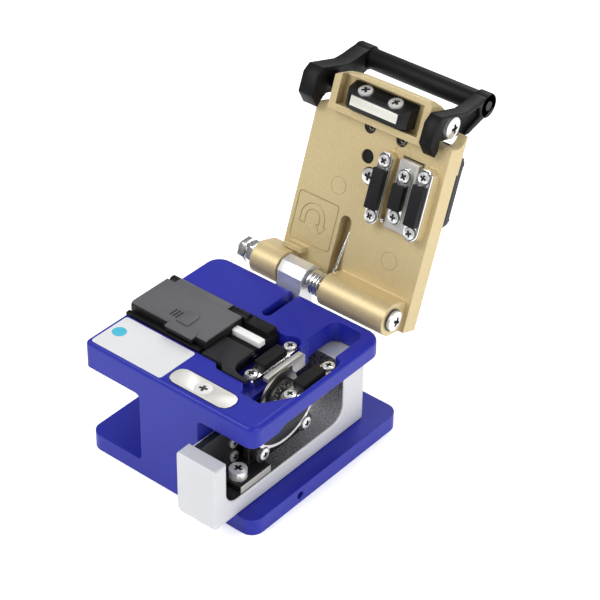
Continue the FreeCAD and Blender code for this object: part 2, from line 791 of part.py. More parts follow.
SHANK_HOLE = S.screw_shank_radius + S.thread_gap
CLAMP_SPOTS = [(x, FIBRE_Y + side * S.clamp_screw_offset)
               for x in (LEFT_CLAMP_X, RIGHT_CLAMP_X) for side in (-1, 1)]
drill(body_casting, "xy", LEDGE - S.screw_length, LEDGE + 1, SHANK_HOLE, *CLAMP_SPOTS)
drill(body_casting, "xy", KEEPER_SEAT - S.screw_length, KEEPER_SEAT + 1, SHANK_HOLE,
      (KEEPER_X, KEEPER_Y))
RAIL_MIDDLE = (RAIL_FRONT + RAIL_BACK) / 2
RAIL_SPOTS = [(RAIL_MIDDLE + step * S.rail_screw_pitch, RAIL_Z) for step in (-1, 0, 1)]
drill_yz(body_casting, RAIL_FLOOR - S.screw_length, RAIL_FLOOR + 1, SHANK_HOLE, *RAIL_SPOTS)
HINGE_BLOCK_X = LEFT + S.hinge_block_start + S.hinge_block_width / 2
HINGE_SCREW_Z = S.hinge_block_foot + S.hinge_screw_low
HINGE_SCREW_LENGTH = S.hinge_block_depth + 3.2
HINGE_SPOTS = [(HINGE_BLOCK_X, HINGE_SCREW_Z), (HINGE_BLOCK_X, HINGE_SCREW_Z + S.hinge_screw_pitch)]
cut(body_casting, "xz", DECK_BACK - 4, DECK_BACK + 1,
    *[polygon(x, z, S.hinge_screw_radius + S.thread_gap, 12) for x, z in HINGE_SPOTS])
REST_LEFT = LEFT + S.rest_bar_right - S.rest_bar_width
REST_BACK = FRONT + S.rest_bar_back
REST_SCREW_X = REST_LEFT - S.rest_flange_width / 2 + 0.05
REST_SPOTS = [(REST_SCREW_X, REST_BACK - 2), (REST_SCREW_X, REST_BACK - 9)]
REST_SCREW_RADIUS = S.screw_shank_radius * 0.75
drill(body_casting, "xy", LEDGE - 1.5, LEDGE + 1, REST_SCREW_RADIUS + S.thread_gap, *REST_SPOTS)

# Rubber feet, flush with the underside.
feet = []
for number, (x, y) in enumerate(FOOT_SPOTS, 1):
    foot = new_body("foot_%d" % number)
    extrude(foot, "xy", 0, S.foot_sink, circle(x, y, S.foot_radius))
    feet.append(foot)
group("rubber_feet", feet)

# Keeper plate and its flush screw.
keeper_plate = new_body("keeper_plate")
extrude(keeper_plate, "xy", KEEPER_SEAT, KEEPER_TOP, keeper_outline(0))
KEEPER_HEAD = S.keeper_thickness * 0.6
drill(keeper_plate, "xy", KEEPER_TOP - KEEPER_HEAD, KEEPER_TOP + 1,
      S.keeper_screw_radius + S.thread_gap, (KEEPER_X, KEEPER_Y))
drill(keeper_plate, "xy", KEEPER_SEAT - 1, KEEPER_TOP, SHANK_HOLE, (KEEPER_X, KEEPER_Y))
screw("keeper_screw", (KEEPER_X, KEEPER_Y, KEEPER_TOP - KEEPER_HEAD), UP, S.keeper_screw_radius,
      KEEPER_HEAD, S.screw_shank_radius, S.screw_length)

# Lower fibre clamps: chrome block, rubber and two screws on each side of the blade.
CLAMP_TOP = LEDGE + S.clamp_height
RUBBER_TOP = S.fibre_height - S.seat_gap
for side, clamp_x, clamp_width in (("left", LEFT_CLAMP_X, S.clamp_width),
                                   ("right", RIGHT_CLAMP_X, S.right_clamp_width)):
    block = new_body("lower_clamp_" + side)
    clamp_length = 2 * S.clamp_screw_offset + clamp_width
    extrude(block, "xy", LEDGE, CLAMP_TOP,
            slot(clamp_x, FIBRE_Y, clamp_length, clamp_width, upright=True))
    drill(block, "xy", LEDGE - 1, CLAMP_TOP + 1, SHANK_HOLE,
          (clamp_x, FIBRE_Y - S.clamp_screw_offset), (clamp_x, FIBRE_Y + S.clamp_screw_offset))
    rubber = new_body("lower_rubber_" + side)
    half_width = S.lower_rubber_width / 2
    half_length = S.lower_rubber_length / 2
    extrude(rubber, "xy", CLAMP_TOP, RUBBER_TOP,
            rectangle(clamp_x - half_width, FIBRE_Y - half_length,
                      clamp_x + half_width, FIBRE_Y + half_length))
group("lower_clamp_screws", [clamp_screw("lower_screw_%d" % number, (x, y, CLAMP_TOP), UP)
                             for number, (x, y) in enumerate(CLAMP_SPOTS, 1)])

# Steel rest bar beside the blade, on a flange screwed to the ledge.
rest_bar = new_body("rest_bar")
REST_FRONT = FRONT + S.rest_bar_front
REST_TOP = RUBBER_TOP
REST_RIGHT = LEFT + S.rest_bar_right
REST_STEP = REST_BACK - S.rest_block_length
extrude(rest_bar, "yz", REST_LEFT, REST_RIGHT,
        outline((REST_FRONT, REST_TOP - S.rest_bar_thickness),
                (REST_STEP, REST_TOP - S.rest_bar_thickness),
                (REST_STEP, REST_TOP - S.rest_block_height),
                (REST_BACK, REST_TOP - S.rest_block_height),
                (REST_BACK, REST_TOP - 1), (REST_BACK - 1, REST_TOP), (REST_FRONT, REST_TOP)))
FLANGE_LEFT = REST_LEFT - S.rest_flange_width
FLANGE_TOP = LEDGE + S.rest_flange_thickness
extrude(rest_bar, "xy", LEDGE, FLANGE_TOP,
        rectangle(FLANGE_LEFT, REST_BACK - 11, MOUTH_LEFT, REST_BACK))
extrude(rest_bar, "xy", REST_TOP - S.rest_block_height, FLANGE_TOP,
        rectangle(FLANGE_LEFT, REST_STEP, REST_RIGHT, REST_BACK))
drill(rest_bar, "xy", LEDGE - 1, FLANGE_TOP + 1, REST_SCREW_RADIUS + S.thread_gap, *REST_SPOTS)
group("rest_bar_screws",
      [screw("rest_screw_%d" % number, (x, y, FLANGE_TOP), UP, S.screw_head_radius * 0.6,
             S.screw_head_height * 0.75, REST_SCREW_RADIUS, 2.4)
       for number, (x, y) in enumerate(REST_SPOTS, 1)])

# Linear rail in the web's groove, with counterbored screws.
RAIL_TOP = RAIL_FLOOR + S.rail_thickness
RAIL_SEAT = RAIL_TOP - 1
linear_rail = new_body("linear_rail")
extrude(linear_rail, "yz", RAIL_FLOOR, RAIL_TOP,
        rectangle(RAIL_FRONT, RAIL_Z - S.rail_width / 2, RAIL_BACK, RAIL_Z + S.rail_width / 2))
drill_yz(linear_rail, RAIL_SEAT, RAIL_TOP + 1, S.screw_head_radius + S.thread_gap, *RAIL_SPOTS)
drill_yz(linear_rail, RAIL_FLOOR - 1, RAIL_TOP, SHANK_HOLE, *RAIL_SPOTS)
group("rail_screws", [clamp_screw("rail_screw_%d" % number, (RAIL_SEAT, y, z), TO_RIGHT)
                      for number, (y, z) in enumerate(RAIL_SPOTS, 1)])

# Hinge block behind the web, its head eight-sided about the pin.
HEAD = S.knuckle_radius * math.cos(math.radians(22.5))
NOTCH = S.knuckle_radius * math.sin(math.radians(22.5))
BLOCK_BACK = DECK_BACK + S.hinge_block_depth
PIN_Z = S.hinge_height
BLOCK_LEFT = LEFT + S.hinge_block_start
BLOCK_RIGHT = BLOCK_LEFT + S.hinge_block_width
hinge_block = new_body("hinge_block")
extrude(hinge_block, "yz", BLOCK_LEFT, BLOCK_RIGHT,
        outline((DECK_BACK, S.hinge_block_foot), (BLOCK_BACK, S.hinge_block_foot),
                (BLOCK_BACK, PIN_Z - HEAD), (HINGE_Y + NOTCH, PIN_Z - HEAD),
                (HINGE_Y + HEAD, PIN_Z - NOTCH), (HINGE_Y + HEAD, PIN_Z + NOTCH),
                (HINGE_Y + NOTCH, PIN_Z + HEAD), (HINGE_Y - NOTCH, PIN_Z + HEAD),
                (HINGE_Y - HEAD, PIN_Z + NOTCH), (HINGE_Y - HEAD, PIN_Z - NOTCH),
                (DECK_BACK, PIN_Z - HEAD)))
bore(hinge_block, "yz", BLOCK_LEFT - 1, BLOCK_RIGHT + 1, S.pin_radius + S.shaft_gap,
     (HINGE_Y, PIN_Z))
cut(hinge_block, "xz", DECK_BACK - 1, BLOCK_BACK + 1,
    *[polygon(x, z, S.hinge_screw_radius + S.thread_gap, 12) for x, z in HINGE_SPOTS])
group("hinge_block_screws",
      [screw("hinge_screw_%d" % number, (x, BLOCK_BACK, z), TO_BACK, S.hinge_screw_head,
             S.hinge_screw_radius, S.hinge_screw_radius, HINGE_SCREW_LENGTH)
       for number, (x, z) in enumerate(HINGE_SPOTS, 1)])

# Hinge pin: two nuts on its left end, a screw in its right end.
PIN_LEFT = LEFT + S.pin_start
PIN_RIGHT = LEFT + S.barrel_end + S.fit_gap
END_SHANK = S.pin_radius * 0.55
hinge_pin = new_body("hinge_pin")
extrude(hinge_pin, "yz", PIN_LEFT, PIN_RIGHT, circle(HINGE_Y, PIN_Z, S.pin_radius))
drill_yz(hinge_pin, PIN_RIGHT - 5, PIN_RIGHT + 1, END_SHANK + S.thread_gap, (HINGE_Y, PIN_Z))
screw("hinge_end_screw", (PIN_RIGHT, HINGE_Y, PIN_Z), TO_RIGHT, S.end_screw_radius,
      S.end_screw_head, END_SHANK, 4.5)
FLAT = S.nut_flats / 2
CORNER = FLAT / math.cos(math.radians(30))
nuts = []
for number, nut_x in enumerate((PIN_LEFT + 1.2, PIN_LEFT + 4.1), 1):
    nut = new_body("hinge_nut_%d" % number)
    extrude(nut, "yz", nut_x, nut_x + S.nut_thickness,
            outline((HINGE_Y + CORNER, PIN_Z), (HINGE_Y + CORNER / 2, PIN_Z + FLAT),
                    (HINGE_Y - CORNER / 2, PIN_Z + FLAT), (HINGE_Y - CORNER, PIN_Z),
                    (HINGE_Y - CORNER / 2, PIN_Z - FLAT), (HINGE_Y + CORNER / 2, PIN_Z - FLAT)),
            circle(HINGE_Y, PIN_Z, S.pin_radius + S.shaft_gap))
    nuts.append(nut)
group("hinge_nuts", nuts)

# Blade slider: floor, front and rear posts with wide rounds, and the wall on the carriage.
SLIDE_LEFT = WAY_LEFT + S.fit_gap
SLIDE_RIGHT = LEFT + S.slider_right
SLIDE_FRONT = FRONT - S.slider_front
SLIDE_BACK = SLIDE_FRONT + S.slider_length
POST_FRONT = SLIDE_FRONT + S.front_post
POST_BACK = SLIDE_BACK - S.rear_post
BEAM = S.slider_beam_top
ROUND = S.slider_round
WALL_RIGHT = SLIDE_LEFT + S.slider_wall
slider_casting = new_body("slider_casting")
extrude(slider_casting, "yz", SLIDE_LEFT, SLIDE_RIGHT,
        outline((SLIDE_FRONT, S.slider_bottom), (SLIDE_BACK, S.slider_bottom),
                (SLIDE_BACK, S.rear_post_top), (POST_BACK, S.rear_post_top),
                (POST_BACK, BEAM + ROUND),
                arc_to((POST_BACK - ROUND, BEAM + ROUND), (POST_BACK - ROUND, BEAM), -1),
                (POST_FRONT + ROUND, BEAM),
                arc_to((POST_FRONT + ROUND, BEAM + ROUND), (POST_FRONT, BEAM + ROUND), -1),
                (POST_FRONT, S.front_post_top), (SLIDE_FRONT, S.front_post_top)))
extrude(slider_casting, "yz", SLIDE_LEFT, WALL_RIGHT,
        rectangle(SLIDE_FRONT + 1, S.slider_bottom, SLIDE_BACK - 1, S.slider_wall_top))
soften(slider_casting, "Fillet", S.slider_edge_round,
       dict(x=(SLIDE_LEFT, SLIDE_RIGHT), y=SLIDE_FRONT, z=S.front_post_top),
       dict(x=SLIDE_RIGHT, y=SLIDE_FRONT), dict(x=SLIDE_RIGHT, y=POST_FRONT),
       dict(x=SLIDE_RIGHT, z=S.front_post_top), dict(x=SLIDE_RIGHT, z=BEAM),
       dict(x=SLIDE_RIGHT, y=POST_BACK), dict(x=SLIDE_RIGHT, z=S.rear_post_top),
       dict(x=SLIDE_RIGHT, y=SLIDE_BACK))
soften(slider_casting, "Chamfer", 1, dict(x=SLIDE_LEFT, z=S.slider_bottom),
       dict(x=SLIDE_LEFT, z=S.rear_post_top))
CARRIAGE_FRONT = FRONT + S.carriage_start
CARRIAGE_BACK = CARRIAGE_FRONT + S.carriage_length
SLIDER_SPOTS = [(y, RAIL_Z + rise)
                for y in (CARRIAGE_FRONT + 3, CARRIAGE_BACK - 3) for rise in (-1.5, 3.5)]
drill_yz(slider_casting, SLIDE_LEFT - 1, WALL_RIGHT + 1, SHANK_HOLE, *SLIDER_SPOTS)
ARM_SCREW_X = LEFT + S.arm_screw_centre
ARM_SCREW_Y = FRONT + S.arm_screw_from_front
drill(slider_casting, "xy", BEAM - 4.2, BEAM + 1, S.axle_radius + S.thread_gap,
      (ARM_SCREW_X, ARM_SCREW_Y))

# Carriage running on the rail, screwed to the slider's wall.
carriage = new_body("rail_carriage")
extrude(carriage, "yz", RAIL_FLOOR + 1, SLIDE_LEFT,
        rectangle(CARRIAGE_FRONT, RAIL_Z - S.carriage_width / 2,
                  CARRIAGE_BACK, RAIL_Z + S.carriage_width / 2))
CHANNEL = S.rail_width / 2 + S.fit_gap
cut(carriage, "yz", RAIL_FLOOR, RAIL_TOP + S.fit_gap,
    rectangle(CARRIAGE_FRONT - 1, RAIL_Z - CHANNEL, CARRIAGE_BACK + 1, RAIL_Z + CHANNEL))
drill_yz(carriage, SLIDE_LEFT - 2.2, SLIDE_LEFT + 1, SHANK_HOLE, *SLIDER_SPOTS)
group("slider_screws", [clamp_screw("slider_screw_%d" % number, (WALL_RIGHT, y, z), TO_RIGHT)
                        for number, (y, z) in enumerate(SLIDER_SPOTS, 1)])

# Blade arm: a foot on the slider's floor and a plate carrying the axle and the guard.
AXLE_Y = FRONT + S.blade_from_front
AXLE_Z = S.fibre_height - S.blade_bite - S.blade_radius
BLADE_LEFT = BLADE_X - S.blade_thickness / 2
BLADE_RIGHT = BLADE_X + S.blade_thickness / 2
ARM_RIGHT = BLADE_LEFT - S.fit_gap
ARM_LEFT = ARM_RIGHT - S.arm_thickness
ARM_FRONT = FRONT + S.arm_foot_front
FOOT_TOP = BEAM + S.arm_foot_height
MARGIN = S.arm_head_margin
GUARD_SINE = Size("sin(sizes.guard_screw_angle)", math.sin(math.radians(S.guard_screw_angle.value)))
GUARD_COSINE = Size("cos(sizes.guard_screw_angle)",
                    math.cos(math.radians(S.guard_screw_angle.value)))
EAR_Y = S.guard_screw_circle * GUARD_SINE
EAR_Z = AXLE_Z - S.guard_screw_circle * GUARD_COSINE
EAR_SPOTS = [(AXLE_Y - EAR_Y, EAR_Z), (AXLE_Y + EAR_Y, EAR_Z)]
EAR = S.guard_ear_radius
blade_arm = new_body("blade_arm")
extrude(blade_arm, "yz", ARM_LEFT, ARM_RIGHT,
        outline((ARM_FRONT, BEAM), (AXLE_Y + EAR_Y + EAR, BEAM), (AXLE_Y + EAR_Y + EAR, EAR_Z + 2),
                (AXLE_Y + MARGIN, AXLE_Z),
                arc_to((AXLE_Y, AXLE_Z), (AXLE_Y - MARGIN, AXLE_Z), 1),
                (AXLE_Y - EAR_Y - EAR, EAR_Z + 2), (AXLE_Y - EAR_Y - EAR, FOOT_TOP),
                (ARM_FRONT, FOOT_TOP)))
extrude(blade_arm, "xy", BEAM, FOOT_TOP,
        rectangle(ARM_LEFT, ARM_FRONT, LEFT + S.arm_foot_right, ARM_FRONT + S.arm_foot_length))
GUARD_LEFT = BLADE_RIGHT + S.fit_gap
GUARD_RIGHT = GUARD_LEFT + S.guard_thickness
extrude(blade_arm, "yz", ARM_LEFT, GUARD_LEFT, *[circle(y, z, EAR - 0.5) for y, z in EAR_SPOTS])
drill_yz(blade_arm, ARM_LEFT - 1, GUARD_LEFT + 1, SHANK_HOLE, *EAR_SPOTS)
bore(blade_arm, "yz", ARM_LEFT - 1, ARM_RIGHT + 1, S.axle_radius + S.shaft_gap, (AXLE_Y, AXLE_Z))
drill(blade_arm, "xy", BEAM - 1, FOOT_TOP + 1, S.axle_radius + S.thread_gap,
      (ARM_SCREW_X, ARM_SCREW_Y))
screw("arm_screw", (ARM_SCREW_X, ARM_SCREW_Y, FOOT_TOP), UP, S.arm_screw_radius,
      S.arm_screw_head, S.axle_radius, 6)

# Guard below the blade, a crescent with an ear at each screw.
COS_TIP = math.cos(math.radians(15))
SIN_TIP = math.sin(math.radians(15))
OUTER = S.guard_radius
INNER = S.guard_inner_radius
blade_guard = new_body("blade_guard")
extrude(blade_guard, "yz", GUARD_LEFT, GUARD_RIGHT,
        outline((AXLE_Y - OUTER * COS_TIP, AXLE_Z - OUTER * SIN_TIP),
                arc_to((AXLE_Y, AXLE_Z),
                       (AXLE_Y + OUTER * COS_TIP, AXLE_Z - OUTER * SIN_TIP), 1),
                (AXLE_Y + INNER * COS_TIP, AXLE_Z - INNER * SIN_TIP),
                arc_to((AXLE_Y, AXLE_Z),
                       (AXLE_Y - INNER * COS_TIP, AXLE_Z - INNER * SIN_TIP), -1)))
extrude(blade_guard, "yz", GUARD_LEFT, GUARD_RIGHT, *[circle(y, z, EAR) for y, z in EAR_SPOTS])
drill_yz(blade_guard, GUARD_LEFT - 1, GUARD_RIGHT + 1, SHANK_HOLE, *EAR_SPOTS)
group("guard_screws", [clamp_screw("guard_screw_%d" % number, (GUARD_RIGHT, y, z), TO_RIGHT)
                       for number, (y, z) in enumerate(EAR_SPOTS, 1)])

# Blade wheel with its hub, the numbered dial, and the axle that carries both.
DIAL_RIGHT = BLADE_RIGHT + S.dial_thickness
AXLE_BORE = S.axle_radius + S.shaft_gap
blade_wheel = new_body("blade_wheel")
extrude(blade_wheel, "yz", BLADE_LEFT, BLADE_RIGHT, circle(AXLE_Y, AXLE_Z, S.blade_radius))
soften(blade_wheel, "Chamfer", S.blade_thickness * 0.3, dict(x=BLADE_LEFT), dict(x=BLADE_RIGHT))
extrude(blade_wheel, "yz", ARM_RIGHT, BLADE_RIGHT, circle(AXLE_Y, AXLE_Z, S.axle_radius * 1.7))
bore(blade_wheel, "yz", ARM_RIGHT - 1, BLADE_RIGHT + 1, AXLE_BORE, (AXLE_Y, AXLE_Z))
blade_dial = new_body("blade_dial")
extrude(blade_dial, "yz", BLADE_RIGHT, DIAL_RIGHT, circle(AXLE_Y, AXLE_Z, S.dial_radius))
bore(blade_dial, "yz", BLADE_RIGHT - 1, DIAL_RIGHT + 1, AXLE_BORE, (AXLE_Y, AXLE_Z))
screw("blade_axle", (DIAL_RIGHT + 0.1, AXLE_Y, AXLE_Z), TO_RIGHT, S.axle_head_radius,
      S.axle_head_height, S.axle_radius, DIAL_RIGHT + 0.1 - ARM_LEFT, turning=True)

# Lid casting, drawn closed: x as in the body, y forward of the hinge is negative, z up.
INNER_FACE = S.lid_rise
OUTER_FACE = S.lid_rise + S.lid_thickness
KNUCKLE = S.barrel_radius
NECK_LEFT = LEFT + S.neck_left
NECK_RIGHT = LEFT + S.neck_right
PLATE_END = -S.lid_reach
RIM_END = PLATE_END - S.rim_beyond
RIM_NEAR = PLATE_END + S.rim_overlap
RIM_FLOOR = INNER_FACE - S.rim_height
RIM_LEFT = LEFT + S.rim_left
RIM_RIGHT = LEFT + S.rim_right
PAD_Y = FIBRE_Y - HINGE_Y
PAD_FLOOR = INNER_FACE - S.pad_boss_height
PIVOT_Y = PLATE_END - S.pivot_beyond
PIVOT_Z = INNER_FACE + S.pivot_depth
lid_casting = new_body("lid_casting", lid_frame)
extrude(lid_casting, "xy", INNER_FACE, OUTER_FACE,
        rectangle(LID_X.left, PLATE_END, LID_X.right, S.lid_tail))
soften(lid_casting, "Fillet", S.front_corner_round,
       dict(x=LID_X.right, y=PLATE_END), dict(x=LID_X.left, y=PLATE_END))
soften(lid_casting, "Fillet", S.lid_edge_round, dict(x=LID_X.right, z=OUTER_FACE))
extrude(lid_casting, "xy", INNER_FACE, OUTER_FACE,
        outline((NECK_LEFT, PLATE_END + 1), (NECK_LEFT, RIM_END + 3.5), (NECK_LEFT + 3, RIM_END + 2),
                (NECK_LEFT + 10, RIM_END + 0.4), (NECK_LEFT + 22, RIM_END),
                (NECK_RIGHT - 1, RIM_END), (NECK_RIGHT, RIM_END + 1),
                (NECK_RIGHT, PLATE_END + 1)))
for knuckle_start, knuckle_end in ((S.lug_start, S.lug_end), (S.barrel_start, S.barrel_end)):
    extrude(lid_casting, "yz", LEFT + knuckle_start, LEFT + knuckle_end,
            outline((-KNUCKLE, INNER_FACE + 0.5), (-KNUCKLE, 0),
                    arc_to((0, 0), (KNUCKLE, 0), 1),
                    (S.lid_tail, INNER_FACE + 0.5)))
bore(lid_casting, "yz", LEFT + S.lug_start - 1, LEFT + S.barrel_end + 1,
     S.pin_radius + S.shaft_gap, (0, 0))

# Rim round the magnet, on the lid's free end.
extrude(lid_casting, "xy", RIM_FLOOR, INNER_FACE,
        outline((RIM_LEFT, RIM_NEAR), (RIM_LEFT, RIM_END + 3), (RIM_LEFT + 2, RIM_END + 2),
                (RIM_LEFT + 9, RIM_END + 0.4), (RIM_LEFT + 21, RIM_END),
                (RIM_RIGHT - 1, RIM_END), (RIM_RIGHT, RIM_END + 1), (RIM_RIGHT, RIM_NEAR)))
CAVITY_NEAR = RIM_NEAR - S.rim_near_wall
CAVITY_FAR = RIM_END + S.rim_far_wall
cut(lid_casting, "xy", RIM_FLOOR - 1, INNER_FACE,
    rectangle(RIM_LEFT + S.rim_wall, CAVITY_FAR, RIM_RIGHT - S.rim_wall, CAVITY_NEAR))
cut(lid_casting, "yz", NECK_LEFT - 1, NECK_RIGHT + 1,
    outline((RIM_END - 2, RIM_FLOOR + S.nose_lip), (RIM_END, RIM_FLOOR + S.nose_lip),
            (RIM_END + S.nose_slope, OUTER_FACE), (RIM_END + S.nose_slope, OUTER_FACE + 1),
            (RIM_END - 2, OUTER_FACE + 1)))

# Bosses of the two clamp pads, and the pocket of the sprung anvil between them.
def pad_outline(pad_x, pad_width):
    """A bar with a round near end and bevelled corners at its far end."""
    half = pad_width / 2
    near, far = PAD_Y + S.pad_length / 2, PAD_Y - S.pad_length / 2
    bevel = S.pad_bevel
    return outline((pad_x - half, far + bevel), (pad_x - half + bevel, far),
                   (pad_x + half - bevel, far), (pad_x + half, far + bevel),
                   (pad_x + half, near - half),
                   arc_to((pad_x, near - half), (pad_x - half, near - half), 1))


for pad_x, pad_width in ((LEFT_CLAMP_X, S.clamp_width), (RIGHT_CLAMP_X, S.right_clamp_width)):
    extrude(lid_casting, "xy", PAD_FLOOR, INNER_FACE, pad_outline(pad_x, pad_width))
POCKET_TOP = INNER_FACE + S.anvil_pocket_depth
cut(lid_casting, "xy", INNER_FACE - 1, POCKET_TOP,
    rectangle(BLADE_X - S.anvil_pocket_width / 2, PAD_Y - S.anvil_pocket_length / 2,
              BLADE_X + S.anvil_pocket_width / 2, PAD_Y + S.anvil_pocket_length / 2))
PAD_SPOTS = [(x, PAD_Y + side * S.clamp_screw_offset)
             for x in (LEFT_CLAMP_X, RIGHT_CLAMP_X) for side in (-1, 1)]
drill(lid_casting, "xy", PAD_FLOOR - 1, PAD_FLOOR + S.screw_length, SHANK_HOLE, *PAD_SPOTS)

# Slot of the torsion spring's leg, stop tab, through hole, screw holes and pivot bores.
SLOT_LEFT = LEFT + S.spring_slot_start
SLOT_HALF = S.spring_slot_width / 2
cut(lid_casting, "xy", INNER_FACE - 1, INNER_FACE + S.spring_slot_depth,
    outline((SLOT_LEFT, S.lid_tail + 1), (SLOT_LEFT, SLOT_HALF - S.spring_slot_reach),
            arc_to((SLOT_LEFT + SLOT_HALF, SLOT_HALF - S.spring_slot_reach),
                   (SLOT_LEFT + S.spring_slot_width, SLOT_HALF - S.spring_slot_reach), 1),
            (SLOT_LEFT + S.spring_slot_width, S.lid_tail + 1)))
TAB_LEFT = LEFT + S.stop_tab_start
extrude(lid_casting, "xy", INNER_FACE - 3, INNER_FACE,
        rectangle(TAB_LEFT, -6.8, TAB_LEFT + S.stop_tab_width, -5.2))
bore(lid_casting, "xy", INNER_FACE - 1, OUTER_FACE + 1, S.lid_hole_radius,
     (LEFT + S.lid_hole_centre, -S.lid_hole_reach))
SET_SPOTS = [(LEFT + S.set_screw_left, -S.set_screw_reach),
             (LEFT + S.set_screw_right, -S.set_screw_reach)]
drill(lid_casting, "xy", INNER_FACE - 1, INNER_FACE + 4.6, S.set_screw_radius + S.thread_gap,
      *SET_SPOTS)
LID_SCREW_SPOT = (LEFT + S.lid_screw_centre, -S.lid_screw_reach)
drill(lid_casting, "xy", INNER_FACE - 1, INNER_FACE + S.screw_length + 0.2, SHANK_HOLE,
      LID_SCREW_SPOT)
PIVOT_DEPTH = 5.0
PIVOT_HOLE = S.pivot_screw_radius + S.thread_gap
bore(lid_casting, "yz", NECK_LEFT - 1, NECK_LEFT + PIVOT_DEPTH + 0.3, PIVOT_HOLE,
     (PIVOT_Y, PIVOT_Z))
bore(lid_casting, "yz", NECK_RIGHT - PIVOT_DEPTH - 0.3, NECK_RIGHT + 1, PIVOT_HOLE,
     (PIVOT_Y, PIVOT_Z))

# Upper clamp pads: plate, rubber and two screws on each boss.
PLATE_FACE = PAD_FLOOR - S.pad_plate_thickness
PAD_FACE = INNER_FACE - S.pad_face
for side, pad_x, pad_width in (("left", LEFT_CLAMP_X, S.clamp_width),
                               ("right", RIGHT_CLAMP_X, S.right_clamp_width)):
    plate = new_body("upper_clamp_" + side, lid_frame)
    extrude(plate, "xy", PLATE_FACE, PAD_FLOOR, pad_outline(pad_x, pad_width))
    drill(plate, "xy", PLATE_FACE - 1, PAD_FLOOR + 1, SHANK_HOLE,
          (pad_x, PAD_Y - S.clamp_screw_offset), (pad_x, PAD_Y + S.clamp_screw_offset))
    rubber = new_body("upper_rubber_" + side, lid_frame)
    extrude(rubber, "xy", PAD_FACE, PLATE_FACE,
            rectangle(pad_x - S.pad_rubber_width / 2, PAD_Y - S.pad_rubber_length / 2,
                      pad_x + S.pad_rubber_width / 2, PAD_Y + S.pad_rubber_length / 2))
group("upper_clamp_screws",
      [clamp_screw("upper_screw_%d" % number, (x, y, PLATE_FACE), DOWN, "lid")
       for number, (x, y) in enumerate(PAD_SPOTS, 1)])

# Sprung anvil over the blade: carrier, plate, rubber, two screws and two springs.
CARRIER_TOP = INNER_FACE + S.anvil_carrier_sink
CARRIER_FACE = INNER_FACE - S.anvil_carrier_rise
ANVIL_PLATE_FACE = CARRIER_FACE - S.pad_plate_thickness
ANVIL_SPOTS = [(BLADE_X, PAD_Y - S.anvil_screw_offset), (BLADE_X, PAD_Y + S.anvil_screw_offset)]
anvil_carrier = new_body("anvil_carrier", lid_frame)
extrude(anvil_carrier, "xy", CARRIER_FACE, CARRIER_TOP,
        rectangle(BLADE_X - S.anvil_carrier_width / 2, PAD_Y - S.anvil_carrier_length / 2,
                  BLADE_X + S.anvil_carrier_width / 2, PAD_Y + S.anvil_carrier_length / 2))
drill(anvil_carrier, "xy", CARRIER_FACE - 1, CARRIER_FACE + 2.6, SHANK_HOLE, *ANVIL_SPOTS)
SPRING_SPOTS = [(BLADE_X, PAD_Y - 2.4), (BLADE_X, PAD_Y + 2.4)]
SPRING_FLOOR = CARRIER_TOP - 2.4
drill(anvil_carrier, "xy", SPRING_FLOOR, CARRIER_TOP + 1, S.anvil_spring_radius + S.fit_gap,
      *SPRING_SPOTS)
anvil_plate = new_body("anvil_plate", lid_frame)
extrude(anvil_plate, "xy", ANVIL_PLATE_FACE, CARRIER_FACE,
        slot(BLADE_X, PAD_Y, S.anvil_plate_length, S.anvil_plate_width, upright=True))
drill(anvil_plate, "xy", ANVIL_PLATE_FACE - 1, CARRIER_FACE + 1, SHANK_HOLE, *ANVIL_SPOTS)
anvil_rubber = new_body("anvil_rubber", lid_frame)
extrude(anvil_rubber, "xy", INNER_FACE - S.anvil_height, ANVIL_PLATE_FACE,
        rectangle(BLADE_X - S.anvil_rubber_width / 2, PAD_Y - S.anvil_rubber_length / 2,
                  BLADE_X + S.anvil_rubber_width / 2, PAD_Y + S.anvil_rubber_length / 2))
group("anvil_screws",
      [screw("anvil_screw_%d" % number, (x, y, ANVIL_PLATE_FACE), DOWN,
             S.screw_head_radius, S.screw_head_height, S.screw_shank_radius, 3.2, "lid")
       for number, (x, y) in enumerate(ANVIL_SPOTS, 1)])
springs = []
for number, (x, y) in enumerate(SPRING_SPOTS, 1):
    spring = new_body("anvil_spring_%d" % number, lid_frame)
    extrude(spring, "xy", SPRING_FLOOR, POCKET_TOP,
            polygon(x, y, S.anvil_spring_radius, 12),
            polygon(x, y, S.anvil_spring_radius * 0.65, 12))
    springs.append(spring)
group("anvil_springs", springs)

# Magnet holder in the rim, bevelled toward the lid's end, with its magnet and two screws.
BLOCK_NEAR = PLATE_END - S.magnet_block_start
BLOCK_FAR = PLATE_END - S.magnet_block_end
MAGNET_Z = INNER_FACE - S.magnet_face
HOLD_LEFT = LEFT + S.magnet_block_left
HOLD_RIGHT = LEFT + S.magnet_block_right
HOLD_X = (HOLD_LEFT + HOLD_RIGHT) / 2
SLOPE_Y = BLOCK_FAR + S.magnet_slope_run
SLOPE_Z = MAGNET_Z + S.magnet_slope_drop
magnet_block = new_body("magnet_block", lid_frame)
extrude(magnet_block, "yz", HOLD_LEFT, HOLD_RIGHT,
        outline((BLOCK_NEAR, INNER_FACE), (BLOCK_FAR, INNER_FACE), (BLOCK_FAR, SLOPE_Z),
                (SLOPE_Y, MAGNET_Z), (BLOCK_NEAR, MAGNET_Z)))
soften(magnet_block, "Chamfer", 2, dict(x=HOLD_LEFT, z=MAGNET_Z), dict(x=HOLD_RIGHT, z=MAGNET_Z))
MAGNET_Y = BLOCK_NEAR - 2.5
MAGNET_BED = MAGNET_Z + S.magnet_sink
cut(magnet_block, "xy", MAGNET_Z - 1, MAGNET_BED,
    rectangle(HOLD_X - S.magnet_length / 2 - S.seat_gap, MAGNET_Y - S.magnet_width / 2 - S.seat_gap,
              HOLD_X + S.magnet_length / 2 + S.seat_gap, MAGNET_Y + S.magnet_width / 2 + S.seat_gap))
magnet = new_body("magnet", lid_frame)
